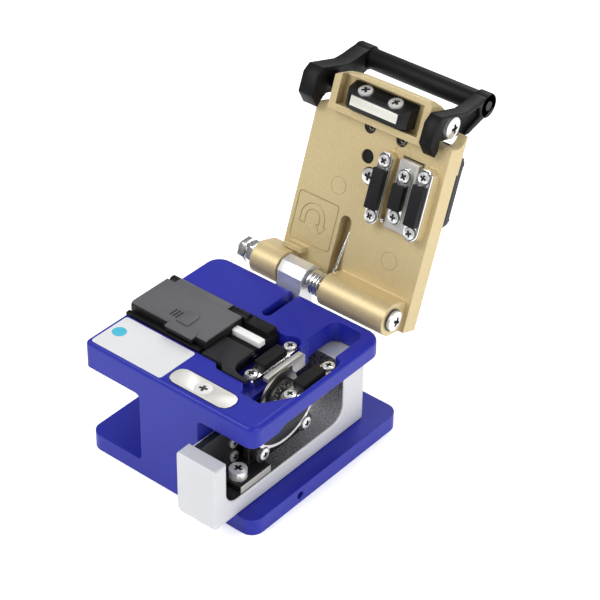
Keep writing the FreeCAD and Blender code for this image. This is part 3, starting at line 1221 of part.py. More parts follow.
extrude(magnet, "xy", MAGNET_Z, MAGNET_BED,
        rectangle(HOLD_X - S.magnet_length / 2, MAGNET_Y - S.magnet_width / 2,
                  HOLD_X + S.magnet_length / 2, MAGNET_Y + S.magnet_width / 2))
slope = math.atan2(S.magnet_slope_run.value, S.magnet_slope_drop.value)
OUTWARD = FreeCAD.Vector(0, -math.cos(slope), -math.sin(slope))
SEAT_Y = (BLOCK_FAR + SLOPE_Y) / 2
SEAT_Z = (SLOPE_Z + MAGNET_Z) / 2
magnet_screws = []
magnet_holes = []
for number, side in enumerate((-1, 1), 1):
    seat = (HOLD_X + side * S.magnet_screw_pitch / 2, SEAT_Y, SEAT_Z)
    magnet_screws.append(clamp_screw("magnet_screw_%d" % number, seat, OUTWARD, "lid"))
    hole = doc.addObject("Part::Cylinder", "magnet_hole_%d" % number)
    bind(hole, "Radius", SHANK_HOLE)
    bind(hole, "Height", S.screw_length + 0.2)
    put(hole, seat, -OUTWARD, "lid")
    magnet_holes.append(hole)
group("magnet_screws", magnet_screws)
SUBPARTS.remove(magnet_block)
holes = doc.addObject("Part::Compound", "magnet_holes")
holes.Links = magnet_holes
magnet_holder = doc.addObject("Part::Cut", "magnet_holder")
magnet_holder.Label = "magnet_holder"
magnet_holder.Base = magnet_block
magnet_holder.Tool = holes
SUBPARTS.append(magnet_holder)

# Set screws and the single screw of the lid's inner face.
set_screws = []
for number, (x, y) in enumerate(SET_SPOTS, 1):
    body = new_body("set_screw_%d" % number, lid_frame)
    extrude(body, "xy", INNER_FACE + 0.8, INNER_FACE + 4.4, polygon(x, y, S.set_screw_radius, 12))
    drill(body, "xy", INNER_FACE, INNER_FACE + 2.2, S.set_screw_radius * 0.5, (x, y))
    set_screws.append(body)
group("set_screws", set_screws)
screw("lid_screw", LID_SCREW_SPOT + (INNER_FACE,), DOWN, S.lid_screw_radius,
      S.screw_head_height, S.screw_shank_radius, S.screw_length, "lid")

# Grip pad on the lid's outer face.
GRIP_LEFT = LEFT + S.grip_pad_left
GRIP_RIGHT = LEFT + S.grip_pad_right
grip_pad = new_body("lid_grip_pad", lid_frame)
extrude(grip_pad, "xy", OUTER_FACE, OUTER_FACE + S.grip_pad_thickness,
        rectangle(GRIP_LEFT, -S.grip_pad_far, GRIP_RIGHT, -S.grip_pad_near))
soften(grip_pad, "Fillet", S.grip_pad_round,
       dict(x=GRIP_LEFT, y=-S.grip_pad_far), dict(x=GRIP_RIGHT, y=-S.grip_pad_far),
       dict(x=GRIP_LEFT, y=-S.grip_pad_near), dict(x=GRIP_RIGHT, y=-S.grip_pad_near))
soften(grip_pad, "Chamfer", S.lid_edge_round,
       dict(x=GRIP_RIGHT, z=OUTER_FACE + S.grip_pad_thickness))

# Torsion spring round the hinge pin, its leg lying along the lid's slot.
torsion_spring = new_body("torsion_spring")
SPRING_MID = S.spring_coil_radius
WIRE = S.spring_wire_radius * 0.9
wire = profile(torsion_spring, "xz", 0,
               [rectangle(SPRING_MID - WIRE, -WIRE, SPRING_MID + WIRE, WIRE)])
helix = torsion_spring.newObject("PartDesign::AdditiveHelix", "torsion_spring_coil")
helix.Profile = wire
helix.ReferenceAxis = (wire, ["V_Axis"])
helix.Mode = 0
bind(helix, "Pitch", S.spring_pitch)
bind(helix, "Height", S.spring_rise)
extrude(torsion_spring, "xz", -S.spring_leg, 0,
        rectangle(-SPRING_MID - WIRE, S.spring_rise - WIRE,
                  -SPRING_MID + WIRE, S.spring_rise + WIRE))
put(torsion_spring, (LEFT + S.spring_start, 0, 0), TO_RIGHT, "lid")

# Handle: two arms on pivot screws, joined by a bar on a through rod.
BAR_Y = PIVOT_Y - S.bar_ahead
BAR_Z = PIVOT_Z + S.bar_above
END = S.bar_end_radius
ARM_OUTLINE = outline(
    (PLATE_END + 2.6, INNER_FACE - 2.2), (PLATE_END - 0.9, INNER_FACE - S.heel_depth),
    (PIVOT_Y - 1.5, INNER_FACE - S.heel_depth + 0.2), (PIVOT_Y - 3.9, INNER_FACE - 3.8),
    (PIVOT_Y - 4.4, PIVOT_Z + 4), (PIVOT_Y - 5.4, PIVOT_Z + 7), (PIVOT_Y - 7.4, PIVOT_Z + 11.4),
    (BAR_Y - END, BAR_Z),
    arc_to((BAR_Y, BAR_Z), (BAR_Y, BAR_Z + END), -1),
    (PIVOT_Y - 1.6, PIVOT_Z + 14.6), (PIVOT_Y + 2.4, PIVOT_Z + 8.6),
    (PIVOT_Y + 3.8, PIVOT_Z + 1.5), (PIVOT_Y + 4.1, INNER_FACE + 0.6),
    (PLATE_END - 0.4, INNER_FACE - 0.5))
ARM_RECESS = outline(
    (PIVOT_Y + 6, INNER_FACE - 1.4), (PIVOT_Y - 2.2, INNER_FACE - 1.6),
    (PIVOT_Y - 3.3, PIVOT_Z - 3.4), (PIVOT_Y - 3.3, PIVOT_Z + 4.2),
    (PIVOT_Y - 3.9, PIVOT_Z + 7.2), (PIVOT_Y - 5.4, PIVOT_Z + 10.6),
    (PIVOT_Y - 2.6, PIVOT_Z + 12.2), (PIVOT_Y + 0.9, PIVOT_Z + 7.6),
    (PIVOT_Y + 6, PIVOT_Z + 5.4))
ARMS = {"left": (NECK_LEFT - S.arm_gap - S.arm_width, NECK_LEFT - S.arm_gap),
        "right": (NECK_RIGHT + S.arm_gap, NECK_RIGHT + S.arm_gap + S.arm_width)}
ROD_HOLE = S.bar_rod_radius + S.thread_gap
for side, (arm_start, arm_end) in ARMS.items():
    arm = new_body("handle_arm_" + side, lid_frame)
    extrude(arm, "yz", arm_start, arm_end, ARM_OUTLINE)
    bore(arm, "yz", arm_start - 1, arm_end + 1, S.pivot_screw_radius + S.shaft_gap,
         (PIVOT_Y, PIVOT_Z))
    outer = (arm_start - 1, arm_start + S.arm_recess) if side == "left" else (
        arm_end - S.arm_recess, arm_end + 1)
    cut(arm, "yz", *outer, ARM_RECESS)
    bore(arm, "yz", arm_start - 1, arm_end + 1, ROD_HOLE, (BAR_Y, BAR_Z))
PIVOT_LENGTH = S.arm_width - S.arm_recess + S.arm_gap + PIVOT_DEPTH
group("handle_pivot_screws",
      [screw("pivot_screw_left", (ARMS["left"][0] + S.arm_recess, PIVOT_Y, PIVOT_Z), TO_LEFT,
             S.pivot_head_radius, S.pivot_head_height, S.pivot_screw_radius, PIVOT_LENGTH, "lid",
             turning=True),
       screw("pivot_screw_right", (ARMS["right"][1] - S.arm_recess, PIVOT_Y, PIVOT_Z), TO_RIGHT,
             S.pivot_head_radius, S.pivot_head_height, S.pivot_screw_radius, PIVOT_LENGTH, "lid",
             turning=True)])
handle_bar = new_body("handle_bar", lid_frame)
extrude(handle_bar, "yz", ARMS["left"][1], ARMS["right"][0], circle(BAR_Y, BAR_Z, S.bar_radius))
bore(handle_bar, "yz", ARMS["left"][1] - 1, ARMS["right"][0] + 1, ROD_HOLE, (BAR_Y, BAR_Z))
handle_rod = new_body("handle_rod", lid_frame)
extrude(handle_rod, "yz", ARMS["left"][0] + 0.8, ARMS["right"][1] - 0.8,
        circle(BAR_Y, BAR_Z, S.bar_rod_radius))

# Fibre holder: base in the groove, scale plate and slide bar on it, and the hinged flap.
HOLDER_LEFT = LEFT + S.holder_start
HOLDER_RIGHT = HOLDER_LEFT + S.holder_length
HOLDER_FRONT = GROOVE_FRONT + S.holder_gap
HOLDER_BACK = GROOVE_BACK - S.holder_gap
FLAP_FRONT = FRONT + S.flap_front
FLAP_BACK = FRONT + S.flap_back
FLAP_FLOOR = S.flap_top - S.flap_thickness
FLAP_RIGHT = HOLDER_LEFT + S.flap_length
FLAP_AXIS = (FRONT + S.flap_pin_from_front, S.flap_pin_height)
FLAP_BARREL = S.flap_barrel_radius
REAR_FRONT = FLAP_BACK + S.fit_gap
BARREL_LEFT = LEFT + S.flap_barrel_start
BARREL_RIGHT = LEFT + S.flap_barrel_end
holder_base = new_body("holder_base")
extrude(holder_base, "xy", GROOVE_FLOOR, S.holder_top,
        rectangle(HOLDER_LEFT, HOLDER_FRONT, HOLDER_RIGHT, HOLDER_BACK))
extrude(holder_base, "xy", S.holder_top, S.holder_top + 1.3,
        rectangle(HOLDER_LEFT, HOLDER_FRONT, LEFT + 28, FLAP_FRONT - 0.6))
extrude(holder_base, "xy", S.holder_top, S.rear_block_top,
        rectangle(FLAP_RIGHT + S.fit_gap, REAR_FRONT, HOLDER_RIGHT - 0.6, HOLDER_BACK))
for lug_start, lug_end in ((HOLDER_LEFT, BARREL_LEFT - S.fit_gap),
                           (BARREL_RIGHT + S.fit_gap, FLAP_RIGHT + 1)):
    extrude(holder_base, "yz", lug_start, lug_end,
            outline((FLAP_AXIS[0] - FLAP_BARREL, S.holder_top - 0.5),
                    (FLAP_AXIS[0] + FLAP_BARREL, S.holder_top - 0.5),
                    (FLAP_AXIS[0] + FLAP_BARREL, FLAP_AXIS[1]),
                    arc_to(FLAP_AXIS, (FLAP_AXIS[0] - FLAP_BARREL, FLAP_AXIS[1]), 1)))
PIN_HOLE = S.flap_pin_radius + S.shaft_gap
bore(holder_base, "yz", HOLDER_LEFT - 1, FLAP_RIGHT + 0.5, PIN_HOLE, FLAP_AXIS)
SCALE_LEFT = LEFT + S.scale_plate_start
SCALE_RIGHT = LEFT + S.scale_plate_end
SCALE_BACK = FRONT + S.scale_plate_back
SCALE_FRONT = RECESS_FRONT + S.seat_gap
BITE = LOBE + 1.1
BITE_Y = FIBRE_Y - S.clamp_screw_offset
scale_plate = new_body("holder_scale_plate")
extrude(scale_plate, "xy", S.holder_top, S.scale_plate_top,
        outline((SCALE_LEFT, HOLDER_FRONT), (LEFT + S.scale_foot_start, HOLDER_FRONT),
                (LEFT + S.scale_foot_start + 2, SCALE_FRONT), (SCALE_RIGHT, SCALE_FRONT),
                (SCALE_RIGHT, BITE_Y - BITE), (LEFT_CLAMP_X, BITE_Y - BITE),
                arc_to((LEFT_CLAMP_X, BITE_Y), (LEFT_CLAMP_X - BITE, BITE_Y), -1),
                (LEFT_CLAMP_X - BITE, SCALE_BACK), (SCALE_LEFT, SCALE_BACK)))
slide_bar = new_body("holder_slide_bar")
extrude(slide_bar, "xy", S.holder_top, S.slide_bar_top,
        rectangle(LEFT + S.slide_bar_start, FRONT + S.slide_bar_front,
                  LEFT + S.slide_bar_start + S.slide_bar_length,
                  FRONT + S.slide_bar_front + S.slide_bar_width))
flap = new_body("holder_flap")
extrude(flap, "xy", FLAP_FLOOR, S.flap_top,
        rectangle(HOLDER_LEFT, FLAP_FRONT, FLAP_RIGHT, FLAP_BACK))
soften(flap, "Fillet", 1.2, dict(x=(HOLDER_LEFT, FLAP_RIGHT), y=FLAP_FRONT, z=S.flap_top))
extrude(flap, "xy", S.flap_top - 1.6, S.flap_top,
        rectangle(LEFT + 15, FLAP_FRONT - 1.8, LEFT + 25, FLAP_FRONT + 2))
extrude(flap, "yz", BARREL_LEFT, BARREL_RIGHT,
        outline((FLAP_BACK - 1, FLAP_FLOOR), (FLAP_AXIS[0], FLAP_AXIS[1] - FLAP_BARREL),
                arc_to(FLAP_AXIS, (FLAP_AXIS[0], FLAP_AXIS[1] + FLAP_BARREL), 1),
                (FLAP_BACK - 1, FLAP_AXIS[1] + FLAP_BARREL)))
bore(flap, "yz", BARREL_LEFT - 1, BARREL_RIGHT + 1, PIN_HOLE, FLAP_AXIS)
flap_pin = new_body("holder_flap_pin")
extrude(flap_pin, "yz", HOLDER_LEFT + 0.2, FLAP_RIGHT + 0.2, circle(*FLAP_AXIS, S.flap_pin_radius))

# Every feature is checked, then each node is written to its own STEP file.
doc.recompute()
for item in doc.Objects:
    trouble = [word for word in item.State if word in ("Invalid", "Error")]
    assert not trouble, "%s: %s" % (item.Name, item.State)
for body in SUBPARTS:
    assert not body.Shape.isNull(), body.Label
    assert body.Shape.isValid(), body.Label
    body.Shape.exportStep("parts/%s.step" % body.Label)
print("%d nodes" % len(SUBPARTS))
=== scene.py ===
"""Fibre cleaver, dressed: painted casting, blade slider on its rail, sprung lid, fibre holder.

Metres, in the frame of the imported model: +X runs along the fibre, +Y to the hinge and +Z up.
"""
import json
from math import atan2, cos, pi, radians, sin

import bmesh
import bpy
from mathutils import Matrix, Vector


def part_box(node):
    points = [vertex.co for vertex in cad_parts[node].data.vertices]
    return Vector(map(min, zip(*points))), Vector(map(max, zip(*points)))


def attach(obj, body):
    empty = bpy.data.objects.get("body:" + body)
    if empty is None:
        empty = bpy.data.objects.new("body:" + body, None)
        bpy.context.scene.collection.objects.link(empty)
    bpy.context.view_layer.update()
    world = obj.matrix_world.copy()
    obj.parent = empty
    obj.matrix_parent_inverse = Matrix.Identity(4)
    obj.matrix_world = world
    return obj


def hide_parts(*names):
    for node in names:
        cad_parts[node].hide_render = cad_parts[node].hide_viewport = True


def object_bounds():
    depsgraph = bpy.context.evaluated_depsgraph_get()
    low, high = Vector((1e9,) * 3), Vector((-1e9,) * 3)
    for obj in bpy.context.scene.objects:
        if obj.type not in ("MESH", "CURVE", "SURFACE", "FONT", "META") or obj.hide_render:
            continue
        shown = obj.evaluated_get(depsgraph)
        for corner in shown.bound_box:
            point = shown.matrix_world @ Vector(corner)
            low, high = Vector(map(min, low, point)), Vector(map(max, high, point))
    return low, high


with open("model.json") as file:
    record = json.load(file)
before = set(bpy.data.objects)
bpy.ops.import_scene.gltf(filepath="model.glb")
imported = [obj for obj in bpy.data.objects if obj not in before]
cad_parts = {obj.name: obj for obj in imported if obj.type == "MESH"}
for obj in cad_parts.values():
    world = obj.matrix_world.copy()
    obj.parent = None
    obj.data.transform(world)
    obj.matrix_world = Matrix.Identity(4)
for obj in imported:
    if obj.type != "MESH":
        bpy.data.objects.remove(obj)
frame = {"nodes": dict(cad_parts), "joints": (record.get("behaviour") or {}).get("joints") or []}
cad_box = [list(corner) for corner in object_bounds()]
MM = 0.001

# --------------------
# Studio: a pale floor under the cleaver, three soft lights and the camera. The camera stands
# in front, to the right and above, as one looks at the tool on a bench.
def shown(name, data):
    """A new object, in the scene."""
    piece = bpy.data.objects.new(name, data)
    bpy.context.scene.collection.objects.link(piece)
    return piece


FLOOR_HALF, FLOOR_DROP = 2.5, 0.05 * MM
floor_mesh = bpy.data.meshes.new("studio_floor")
floor_mesh.from_pydata([(x * FLOOR_HALF, y * FLOOR_HALF, 0)
                        for x, y in ((-1, -1), (1, -1), (1, 1), (-1, 1))], [], [(0, 1, 2, 3)])
floor = shown("studio_floor", floor_mesh)
floor.location.z = cad_box[0][2] - FLOOR_DROP
paper = bpy.data.materials.new("studio_paper")
paper.use_nodes = True
for word, number in (("Base Color", (0.93, 0.93, 0.93, 1)), ("Roughness", 0.9),
                     ("Emission Color", (1, 1, 1, 1)), ("Emission Strength", 0.35)):
    paper.node_tree.nodes["Principled BSDF"].inputs[word].default_value = number
floor_mesh.materials.append(paper)

CAMERA_TURN = radians(39.1144)
CAMERA_RISE = radians(35.9509)
CAMERA_ROLL = radians(0.9764)
CAMERA_DISTANCE = 0.5790435
CAMERA_AIM = Vector((0.0055956, 0.0170011, 0.0415053))
CAMERA_LENS, CAMERA_FILM = 122.798, 36
camera_back = Vector((sin(CAMERA_TURN) * cos(CAMERA_RISE),
                      -cos(CAMERA_TURN) * cos(CAMERA_RISE), sin(CAMERA_RISE)))
level_right = Vector((cos(CAMERA_TURN), sin(CAMERA_TURN), 0))
level_up = camera_back.cross(level_right)
camera_right = level_right * cos(CAMERA_ROLL) + level_up * sin(CAMERA_ROLL)
camera_up = level_up * cos(CAMERA_ROLL) - level_right * sin(CAMERA_ROLL)
lens = bpy.data.cameras.new("studio_camera")
lens.lens = CAMERA_LENS
lens.sensor_width = CAMERA_FILM
lens.clip_start = 0.01
camera = shown("studio_camera", lens)
turned = Matrix((camera_right, camera_up, camera_back)).transposed().to_4x4()
camera.matrix_world = Matrix.Translation(CAMERA_AIM + camera_back * CAMERA_DISTANCE) @ turned
bpy.context.scene.camera = camera

for lamp_name, place, size, power in (("key_light", (-0.30, -0.55, 0.75), 0.55, 6.8),
                                      ("right_light", (0.75, -0.05, 0.40), 0.50, 4.4),
                                      ("back_light", (-0.15, 0.65, 0.60), 0.45, 3.4)):
    lamp = bpy.data.lights.new(lamp_name, "AREA")
    lamp.size = size
    lamp.energy = power
    holder = shown(lamp_name, lamp)
    holder.location = place
    holder.rotation_mode = "QUATERNION"
    holder.rotation_quaternion = (CAMERA_AIM - Vector(place)).to_track_quat("-Z", "Y")


class Value:
    """One shader value: the usual operators on it add their Math nodes."""

    def __init__(self, finish, link):
        self.finish = finish
        self.link = link

    def maths(self, operation, *others):
        return self.finish.node("ShaderNodeMath", *others, operation=operation)

    def __add__(self, other):
        return self.maths("ADD", self, other)

    def __radd__(self, other):
        return self.maths("ADD", other, self)

    def __sub__(self, other):
        return self.maths("SUBTRACT", self, other)

    def __rsub__(self, other):
        return self.maths("SUBTRACT", other, self)

    def __mul__(self, other):
        return self.maths("MULTIPLY", self, other)

    def __truediv__(self, other):
        return self.maths("DIVIDE", self, other)

    def above(self, limit):
        return self.maths("GREATER_THAN", self, limit)

    def within(self, low, high):
        """1 between two limits, 0 outside them."""
        return self.above(low) * (1 - self.above(high))

    def kept(self):
        """The value held between 0 and 1."""
        return self.finish.node("ShaderNodeClamp", self)


class Nodes:
    """A node tree; every node in it comes from one method."""

    def __init__(self, tree):
        self.tree = tree

    def node(self, kind, *sockets, output=0, **named):
        """Adds a node. Its sockets get values, links or lists of links, in order or by their
        names, which open with a capital; a small word is one of the node's own settings."""
        made = self.tree.nodes.new(kind)
        fed = list(enumerate(sockets))
        for word, setting in named.items():
            if word[0].isupper():
                fed.append((word.replace("_", " "), setting))
            elif word == "stops":
                for stop, (at, tone) in zip(made.color_ramp.elements, setting):
                    stop.position = at
                    stop.color = tone
            else:
                setattr(made, word, setting)
        for socket, given in fed:
            for number in given if isinstance(given, list) else [given]:
                if isinstance(number, Value):
                    self.tree.links.new(number.link, made.inputs[socket])
                elif number is not None:
                    made.inputs[socket].default_value = number
        return Value(self, made.outputs[output])


bpy.context.scene.view_settings.view_transform = "Standard"
studio = bpy.data.worlds.new("studio_air")
studio.use_nodes = True
bpy.context.scene.world = studio
air = Nodes(studio.node_tree)
sky_height = air.node("ShaderNodeSeparateXYZ", air.node("ShaderNodeTexCoord"), output=2)
half_height = air.node("ShaderNodeMath", sky_height, 0.5, 0.5, operation="MULTIPLY_ADD")
glow = air.node("ShaderNodeValToRGB", half_height, stops=((0.35, (0.10, 0.10, 0.11, 1)),
                                                          (0.85, (1.0, 1.0, 1.0, 1))))
background = air.tree.nodes["Background"]
air.tree.links.new(glow.link, background.inputs["Color"])
background.inputs["Strength"].default_value = 0.40


# --------------------
# Body casting: base plate, web and deck in one zinc die casting, sprayed with gloss blue paint.
# Its edges are lighter, a painted highlight, and the paint has a faint orange peel.
class Finish(Nodes):
    """One finish: a Principled surface, the nodes that feed it, and the slot it stands for."""

    def __init__(self, name, slot, **constants):
        self.material = bpy.data.materials.new(name)
        self.material.use_nodes = True
        super().__init__(self.material.node_tree)
        self.slot = slot
        self.surface = self.tree.nodes["Principled BSDF"]
        for word, number in constants.items():
            title = "Specular IOR Level" if word == "specular" else word.replace("_", " ").title()
            self.surface.inputs[title].default_value = number
        self.place = self.node("ShaderNodeTexCoord", output="Object")

    def noise(self, scale, detail, stretch=None):
        """Smooth noise; stretch squeezes it along each axis, as brushing does."""
        place = self.place
        if stretch:
            place = self.node("ShaderNodeMapping", place, Scale=stretch)
        return self.node("ShaderNodeTexNoise", Vector=place, Scale=scale, Detail=detail)

    def along(self, axis):
        """The place along X, Y or Z."""
        return self.node("ShaderNodeSeparateXYZ", self.place, output=axis)

    def mixed(self, mask, first, second):
        """Mixes two colours by a mask."""
        tones = [tone if isinstance(tone, Value) else (*tone, 1) for tone in (first, second)]
        return self.node("ShaderNodeMix", mask, *[None] * 5, *tones, data_type="RGBA", output=2)

    def clouded(self, scale, detail, first, second):
        """A colour that drifts between two tones."""
        return self.mixed(self.noise(scale, detail), first, second)

    def painted_edge_highlight(self, body, pale, share, radius=0.35 * MM):
        """A colour with a painted highlight on sharp edges."""
        soft = self.node("ShaderNodeBevel", Radius=radius, samples=6)
        flat = self.node("ShaderNodeNewGeometry", output="Normal")
        same = self.node("ShaderNodeVectorMath", soft, flat, operation="DOT_PRODUCT",
                         output="Value")
        return self.mixed(((1 - same) * 3.0).kept() * share, body, pale)

    def fed(self, socket, value):
        self.tree.links.new(value.link, self.surface.inputs[socket])

    def colour(self, value):
        self.fed("Base Color", value)

    def rough(self, value):
        self.fed("Roughness", value)

    def bump(self, value, depth, soft=None):
        """Raises the surface by a value; soft also rounds sharp edges by that radius."""
        base = self.node("ShaderNodeBevel", Radius=soft, samples=6) if soft else None
        raised = self.node("ShaderNodeBump", Height=value, Distance=depth, Normal=base,
                           output="Normal")
        self.fed("Normal", raised)


def shaded(tone, share, lift=0.0):
    """A tone made darker or paler."""
    return [min(1, part * share + lift) for part in tone]


def built(name, work):
    """The object of a bmesh, which is let go."""
    mesh = bpy.data.meshes.new(name)
    work.to_mesh(mesh)
    work.free()
    return shown(name, mesh)


def copied(node, name):
    """A clean copy of a frame piece, its faces joined and its flat faces made whole."""
    merge = 0.002 * MM
    work = bmesh.new()
    work.from_mesh(frame["nodes"][node].data)
    bmesh.ops.remove_doubles(work, verts=work.verts, dist=merge)
    bmesh.ops.dissolve_degenerate(work, edges=work.edges, dist=merge)
    bmesh.ops.dissolve_limit(work, angle_limit=radians(1.0), verts=work.verts,
                             edges=work.edges)
    return built(name, work)


def settled(piece):
    """The piece with its modifiers made real."""
    graph = bpy.context.evaluated_depsgraph_get()
    plain = piece.data
    piece.data = bpy.data.meshes.new_from_object(piece.evaluated_get(graph))
    piece.modifiers.clear()
    bpy.data.meshes.remove(plain)
    return piece


def coated(piece, finish):
    piece.data.materials.clear()
    piece.data.materials.append(finish.material)


def finished(piece, finish, body, *nodes, crease=32):
    """Gives a piece its finish, the body it rides on and the frame nodes it stands for."""
    coated(piece, finish)
    piece.data.shade_smooth()
    piece.data.set_sharp_from_angle(angle=radians(crease))
    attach(piece, body)
    if nodes:
        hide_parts(*nodes)
    return piece


def rounded(piece, width, **settings):
    """The piece with its edges rounded."""
    rounding = piece.modifiers.new("edges", "BEVEL")
    for word, setting in {"width": width, "segments": 2, "limit_method": "ANGLE",
                          **settings}.items():
        setattr(rounding, word, setting)
    return settled(piece)


def edged(node, finish, body, width, segments=2, name=None, placed=None):
    """A frame piece with its edges rounded, standing for that piece."""
    piece = copied(node, name or node + "_shell")
    if placed:
        for corner in piece.data.vertices:
            corner.co = placed(corner.co)
    rounded(piece, width, segments=segments, angle_limit=radians(40),
            use_clamp_overlap=False, miter_outer="MITER_ARC")
    return finished(piece, finish, body, node)


BLUE = (0.013, 0.018, 0.30)
blue_paint = Finish("blue_paint_gloss", "blue_paint", coat_weight=0.09, coat_roughness=0.12,
                    specular=0.20)
blue_paint.colour(blue_paint.painted_edge_highlight(blue_paint.clouded(60, 3, shaded(BLUE, 0.88), BLUE),
                                  (0.08, 0.09, 0.58), 0.55))
blue_paint.rough(0.36 + blue_paint.noise(700, 2) * 0.12)
blue_paint.bump(blue_paint.noise(1400, 2), 0.010 * MM, soft=0.5 * MM)
coated(frame["nodes"]["body_casting"], blue_paint)


# --------------------
# Rubber feet: four soft discs pressed into the base plate's underside, flush with it. They are
# moulded in a dull grey rubber that grips the bench.
def soft_rubber(name, slot, tone, roughness):
    """Moulded rubber: dull, with a fine mottled skin and a painted highlight on its edges."""
    rubber = Finish(name, slot, specular=0.2)
    rubber.colour(rubber.painted_edge_highlight(tone, shaded(tone, 1.8, 0.012), 0.6, 0.25 * MM))
    rubber.rough(roughness + rubber.noise(900, 2) * 0.15)
    rubber.bump(rubber.noise(2600, 3), 0.012 * MM)
    return rubber


black_rubber = soft_rubber("black_rubber_satin", "black_rubber", (0.007, 0.007, 0.008), 0.5)
grey_rubber = soft_rubber("grey_rubber_dull", "grey_rubber", (0.050, 0.052, 0.060), 0.62)
edged("rubber_feet", grey_rubber, "base", 0.15 * MM, name="feet")


# --------------------
# Screws: cross-recess steel screws, chromed, the same pan head everywhere and several sizes.
# One tree turns a head, cuts the recess and sets a screw on each seat, turned at random.
class Shaping(Nodes):
    """A Geometry Nodes tree that sets one form on every seat; its inputs are the form's sizes."""

    def __init__(self, name, *sizes):
        super().__init__(bpy.data.node_groups.new(name, "GeometryNodeTree"))
        kinds = {"Seats": "Geometry", "Seed": "Int", "Finish": "Material"}
        for word in ("Seats", *sizes, "Finish"):
            self.tree.interface.new_socket(word, in_out="INPUT", socket_type="NodeSocket"
                                           + kinds.get(word, "Float"))
        self.tree.interface.new_socket("Made", in_out="OUTPUT", socket_type="NodeSocketGeometry")
        self.given = self.tree.nodes.new("NodeGroupInput")

    def input(self, word):
        return Value(self, self.given.outputs[word])

    def combined(self, x, y, z):
        return self.node("ShaderNodeCombineXYZ", x, y, z)

    def moved(self, geometry, z):
        return self.node("GeometryNodeTransform", geometry, Translation=self.combined(0, 0, z))

    def bent(self, geometry, x, y, z):
        """Shifts every point by its own amount."""
        return self.node("GeometryNodeSetPosition", geometry, Offset=self.combined(x, y, z))

    def spread(self):
        """Each point's own x, y and z."""
        place = self.node("GeometryNodeInputPosition")
        return [self.node("ShaderNodeSeparateXYZ", place, output=axis) for axis in range(3)]

    def painted_shade_faces(self, form):
        """Marks a form's faces for painted shade, which metal shows black."""
        return self.node("GeometryNodeStoreNamedAttribute", form, True, "recess", 1.0,
                         data_type="FLOAT", domain="FACE")

    def planted(self, form, axis="Z", spin=None):
        """Ends the tree: the form on every seat, its axis along the seat's facing."""
        facing = self.node("GeometryNodeInputNamedAttribute", "facing", data_type="FLOAT_VECTOR")
        turn = self.node("FunctionNodeAlignRotationToVector", Vector=facing, axis=axis)
        if spin:
            turn = self.node("FunctionNodeRotateRotation", turn, spin, rotation_space="LOCAL")
        placed = self.node("GeometryNodeInstanceOnPoints", self.input("Seats"),
                           Instance=form, Rotation=turn)
        solid = self.node("GeometryNodeRealizeInstances", placed)
        solid = self.node("GeometryNodeSetMaterial", solid, True, self.input("Finish"))
        self.tree.links.new(solid.link, self.tree.nodes.new("NodeGroupOutput").inputs[0])

    def made(self, name, seats, finish, body, *nodes, **sizes):
        """One plain piece, from seats given as (place, facing)."""
        mesh = bpy.data.meshes.new(name)
        mesh.from_pydata([place for place, facing in seats], [], [])
        pointing = mesh.attributes.new("facing", "FLOAT_VECTOR", "POINT")
        for index, (place, facing) in enumerate(seats):
            pointing.data[index].vector = facing
        piece = shown(name, mesh)
        shaping = piece.modifiers.new("shaping", "NODES")
        shaping.node_group = self.tree
        sizes["Finish"] = finish.material
        for item in self.tree.interface.items_tree:
            word = item.name.replace(" ", "_")
            if word in sizes:
                shaping[item.identifier] = sizes[word]
        return finished(settled(piece), finish, body, *nodes)


screw_tree = Shaping("cross_recess_screw", "Head Radius", "Head Height", "Dome", "Shank Radius",
                     "Length", "Recess", "Seed")
head_radius, head_height, dome, shank_length, recess = [
    screw_tree.input(word) for word in ("Head Radius", "Head Height", "Dome", "Length", "Recess")]
RECESS_DEPTH, ARM_WIDTH, ARM_TAPER = 0.62, 0.33, 0.40
SHADOW_RING_REACH, SHADOW_RING_HEIGHT, FULL_TURN = 1.16, 0.10 * MM, 6.28
head = screw_tree.node("GeometryNodeMeshCylinder", 40, 2, 4, head_radius, head_height)
head = screw_tree.moved(head, head_height * 0.5)
x, y, z = screw_tree.spread()
out = (x * x + y * y) / (head_radius * head_radius)
head = screw_tree.bent(head, 0, 0, out * dome * z / head_height * -1)
wings = []
depth = head_height * RECESS_DEPTH
for arm_x, arm_y in ((1.0, ARM_WIDTH), (ARM_WIDTH, 1.0)):
    wing = screw_tree.node("GeometryNodeMeshCube", screw_tree.combined(
        recess * arm_x * 2, recess * arm_y * 2, depth * 2))
    wing = screw_tree.moved(wing, head_height)
    x, y, z = screw_tree.spread()
    narrow = (1 - (z - head_height + depth) / (depth * 2)) * -ARM_TAPER
    wings.append(screw_tree.bent(wing, x * narrow, y * narrow, 0))
cross = screw_tree.node("GeometryNodeMeshBoolean", None, wings, operation="UNION",
                        solver="MANIFOLD")
cut_head = screw_tree.node("GeometryNodeMeshBoolean", head, screw_tree.painted_shade_faces(cross),
                           operation="DIFFERENCE", solver="MANIFOLD")
shank = screw_tree.node("GeometryNodeMeshCylinder", 20, 1, 1,
                        screw_tree.input("Shank Radius"), shank_length)
shank = screw_tree.moved(shank, shank_length * -0.5)
shadow_ring = screw_tree.node("GeometryNodeMeshCylinder", 32, 1, 1, head_radius * SHADOW_RING_REACH,
                       SHADOW_RING_HEIGHT)
# The recess and a thin disc under the head, wider than it, are painted near black: painted shade
# in the recess and a painted shadow round the head.
whole = screw_tree.node("GeometryNodeJoinGeometry",
                        [cut_head, shank, screw_tree.painted_shade_faces(shadow_ring)])
spin = screw_tree.node("FunctionNodeRandomValue", Seed=screw_tree.input("Seed"),
                       data_type="FLOAT", output=1)
spin = screw_tree.node("FunctionNodeAxisAngleToRotation", (0, 0, 1), spin * FULL_TURN)
screw_tree.planted(whole, spin=spin)


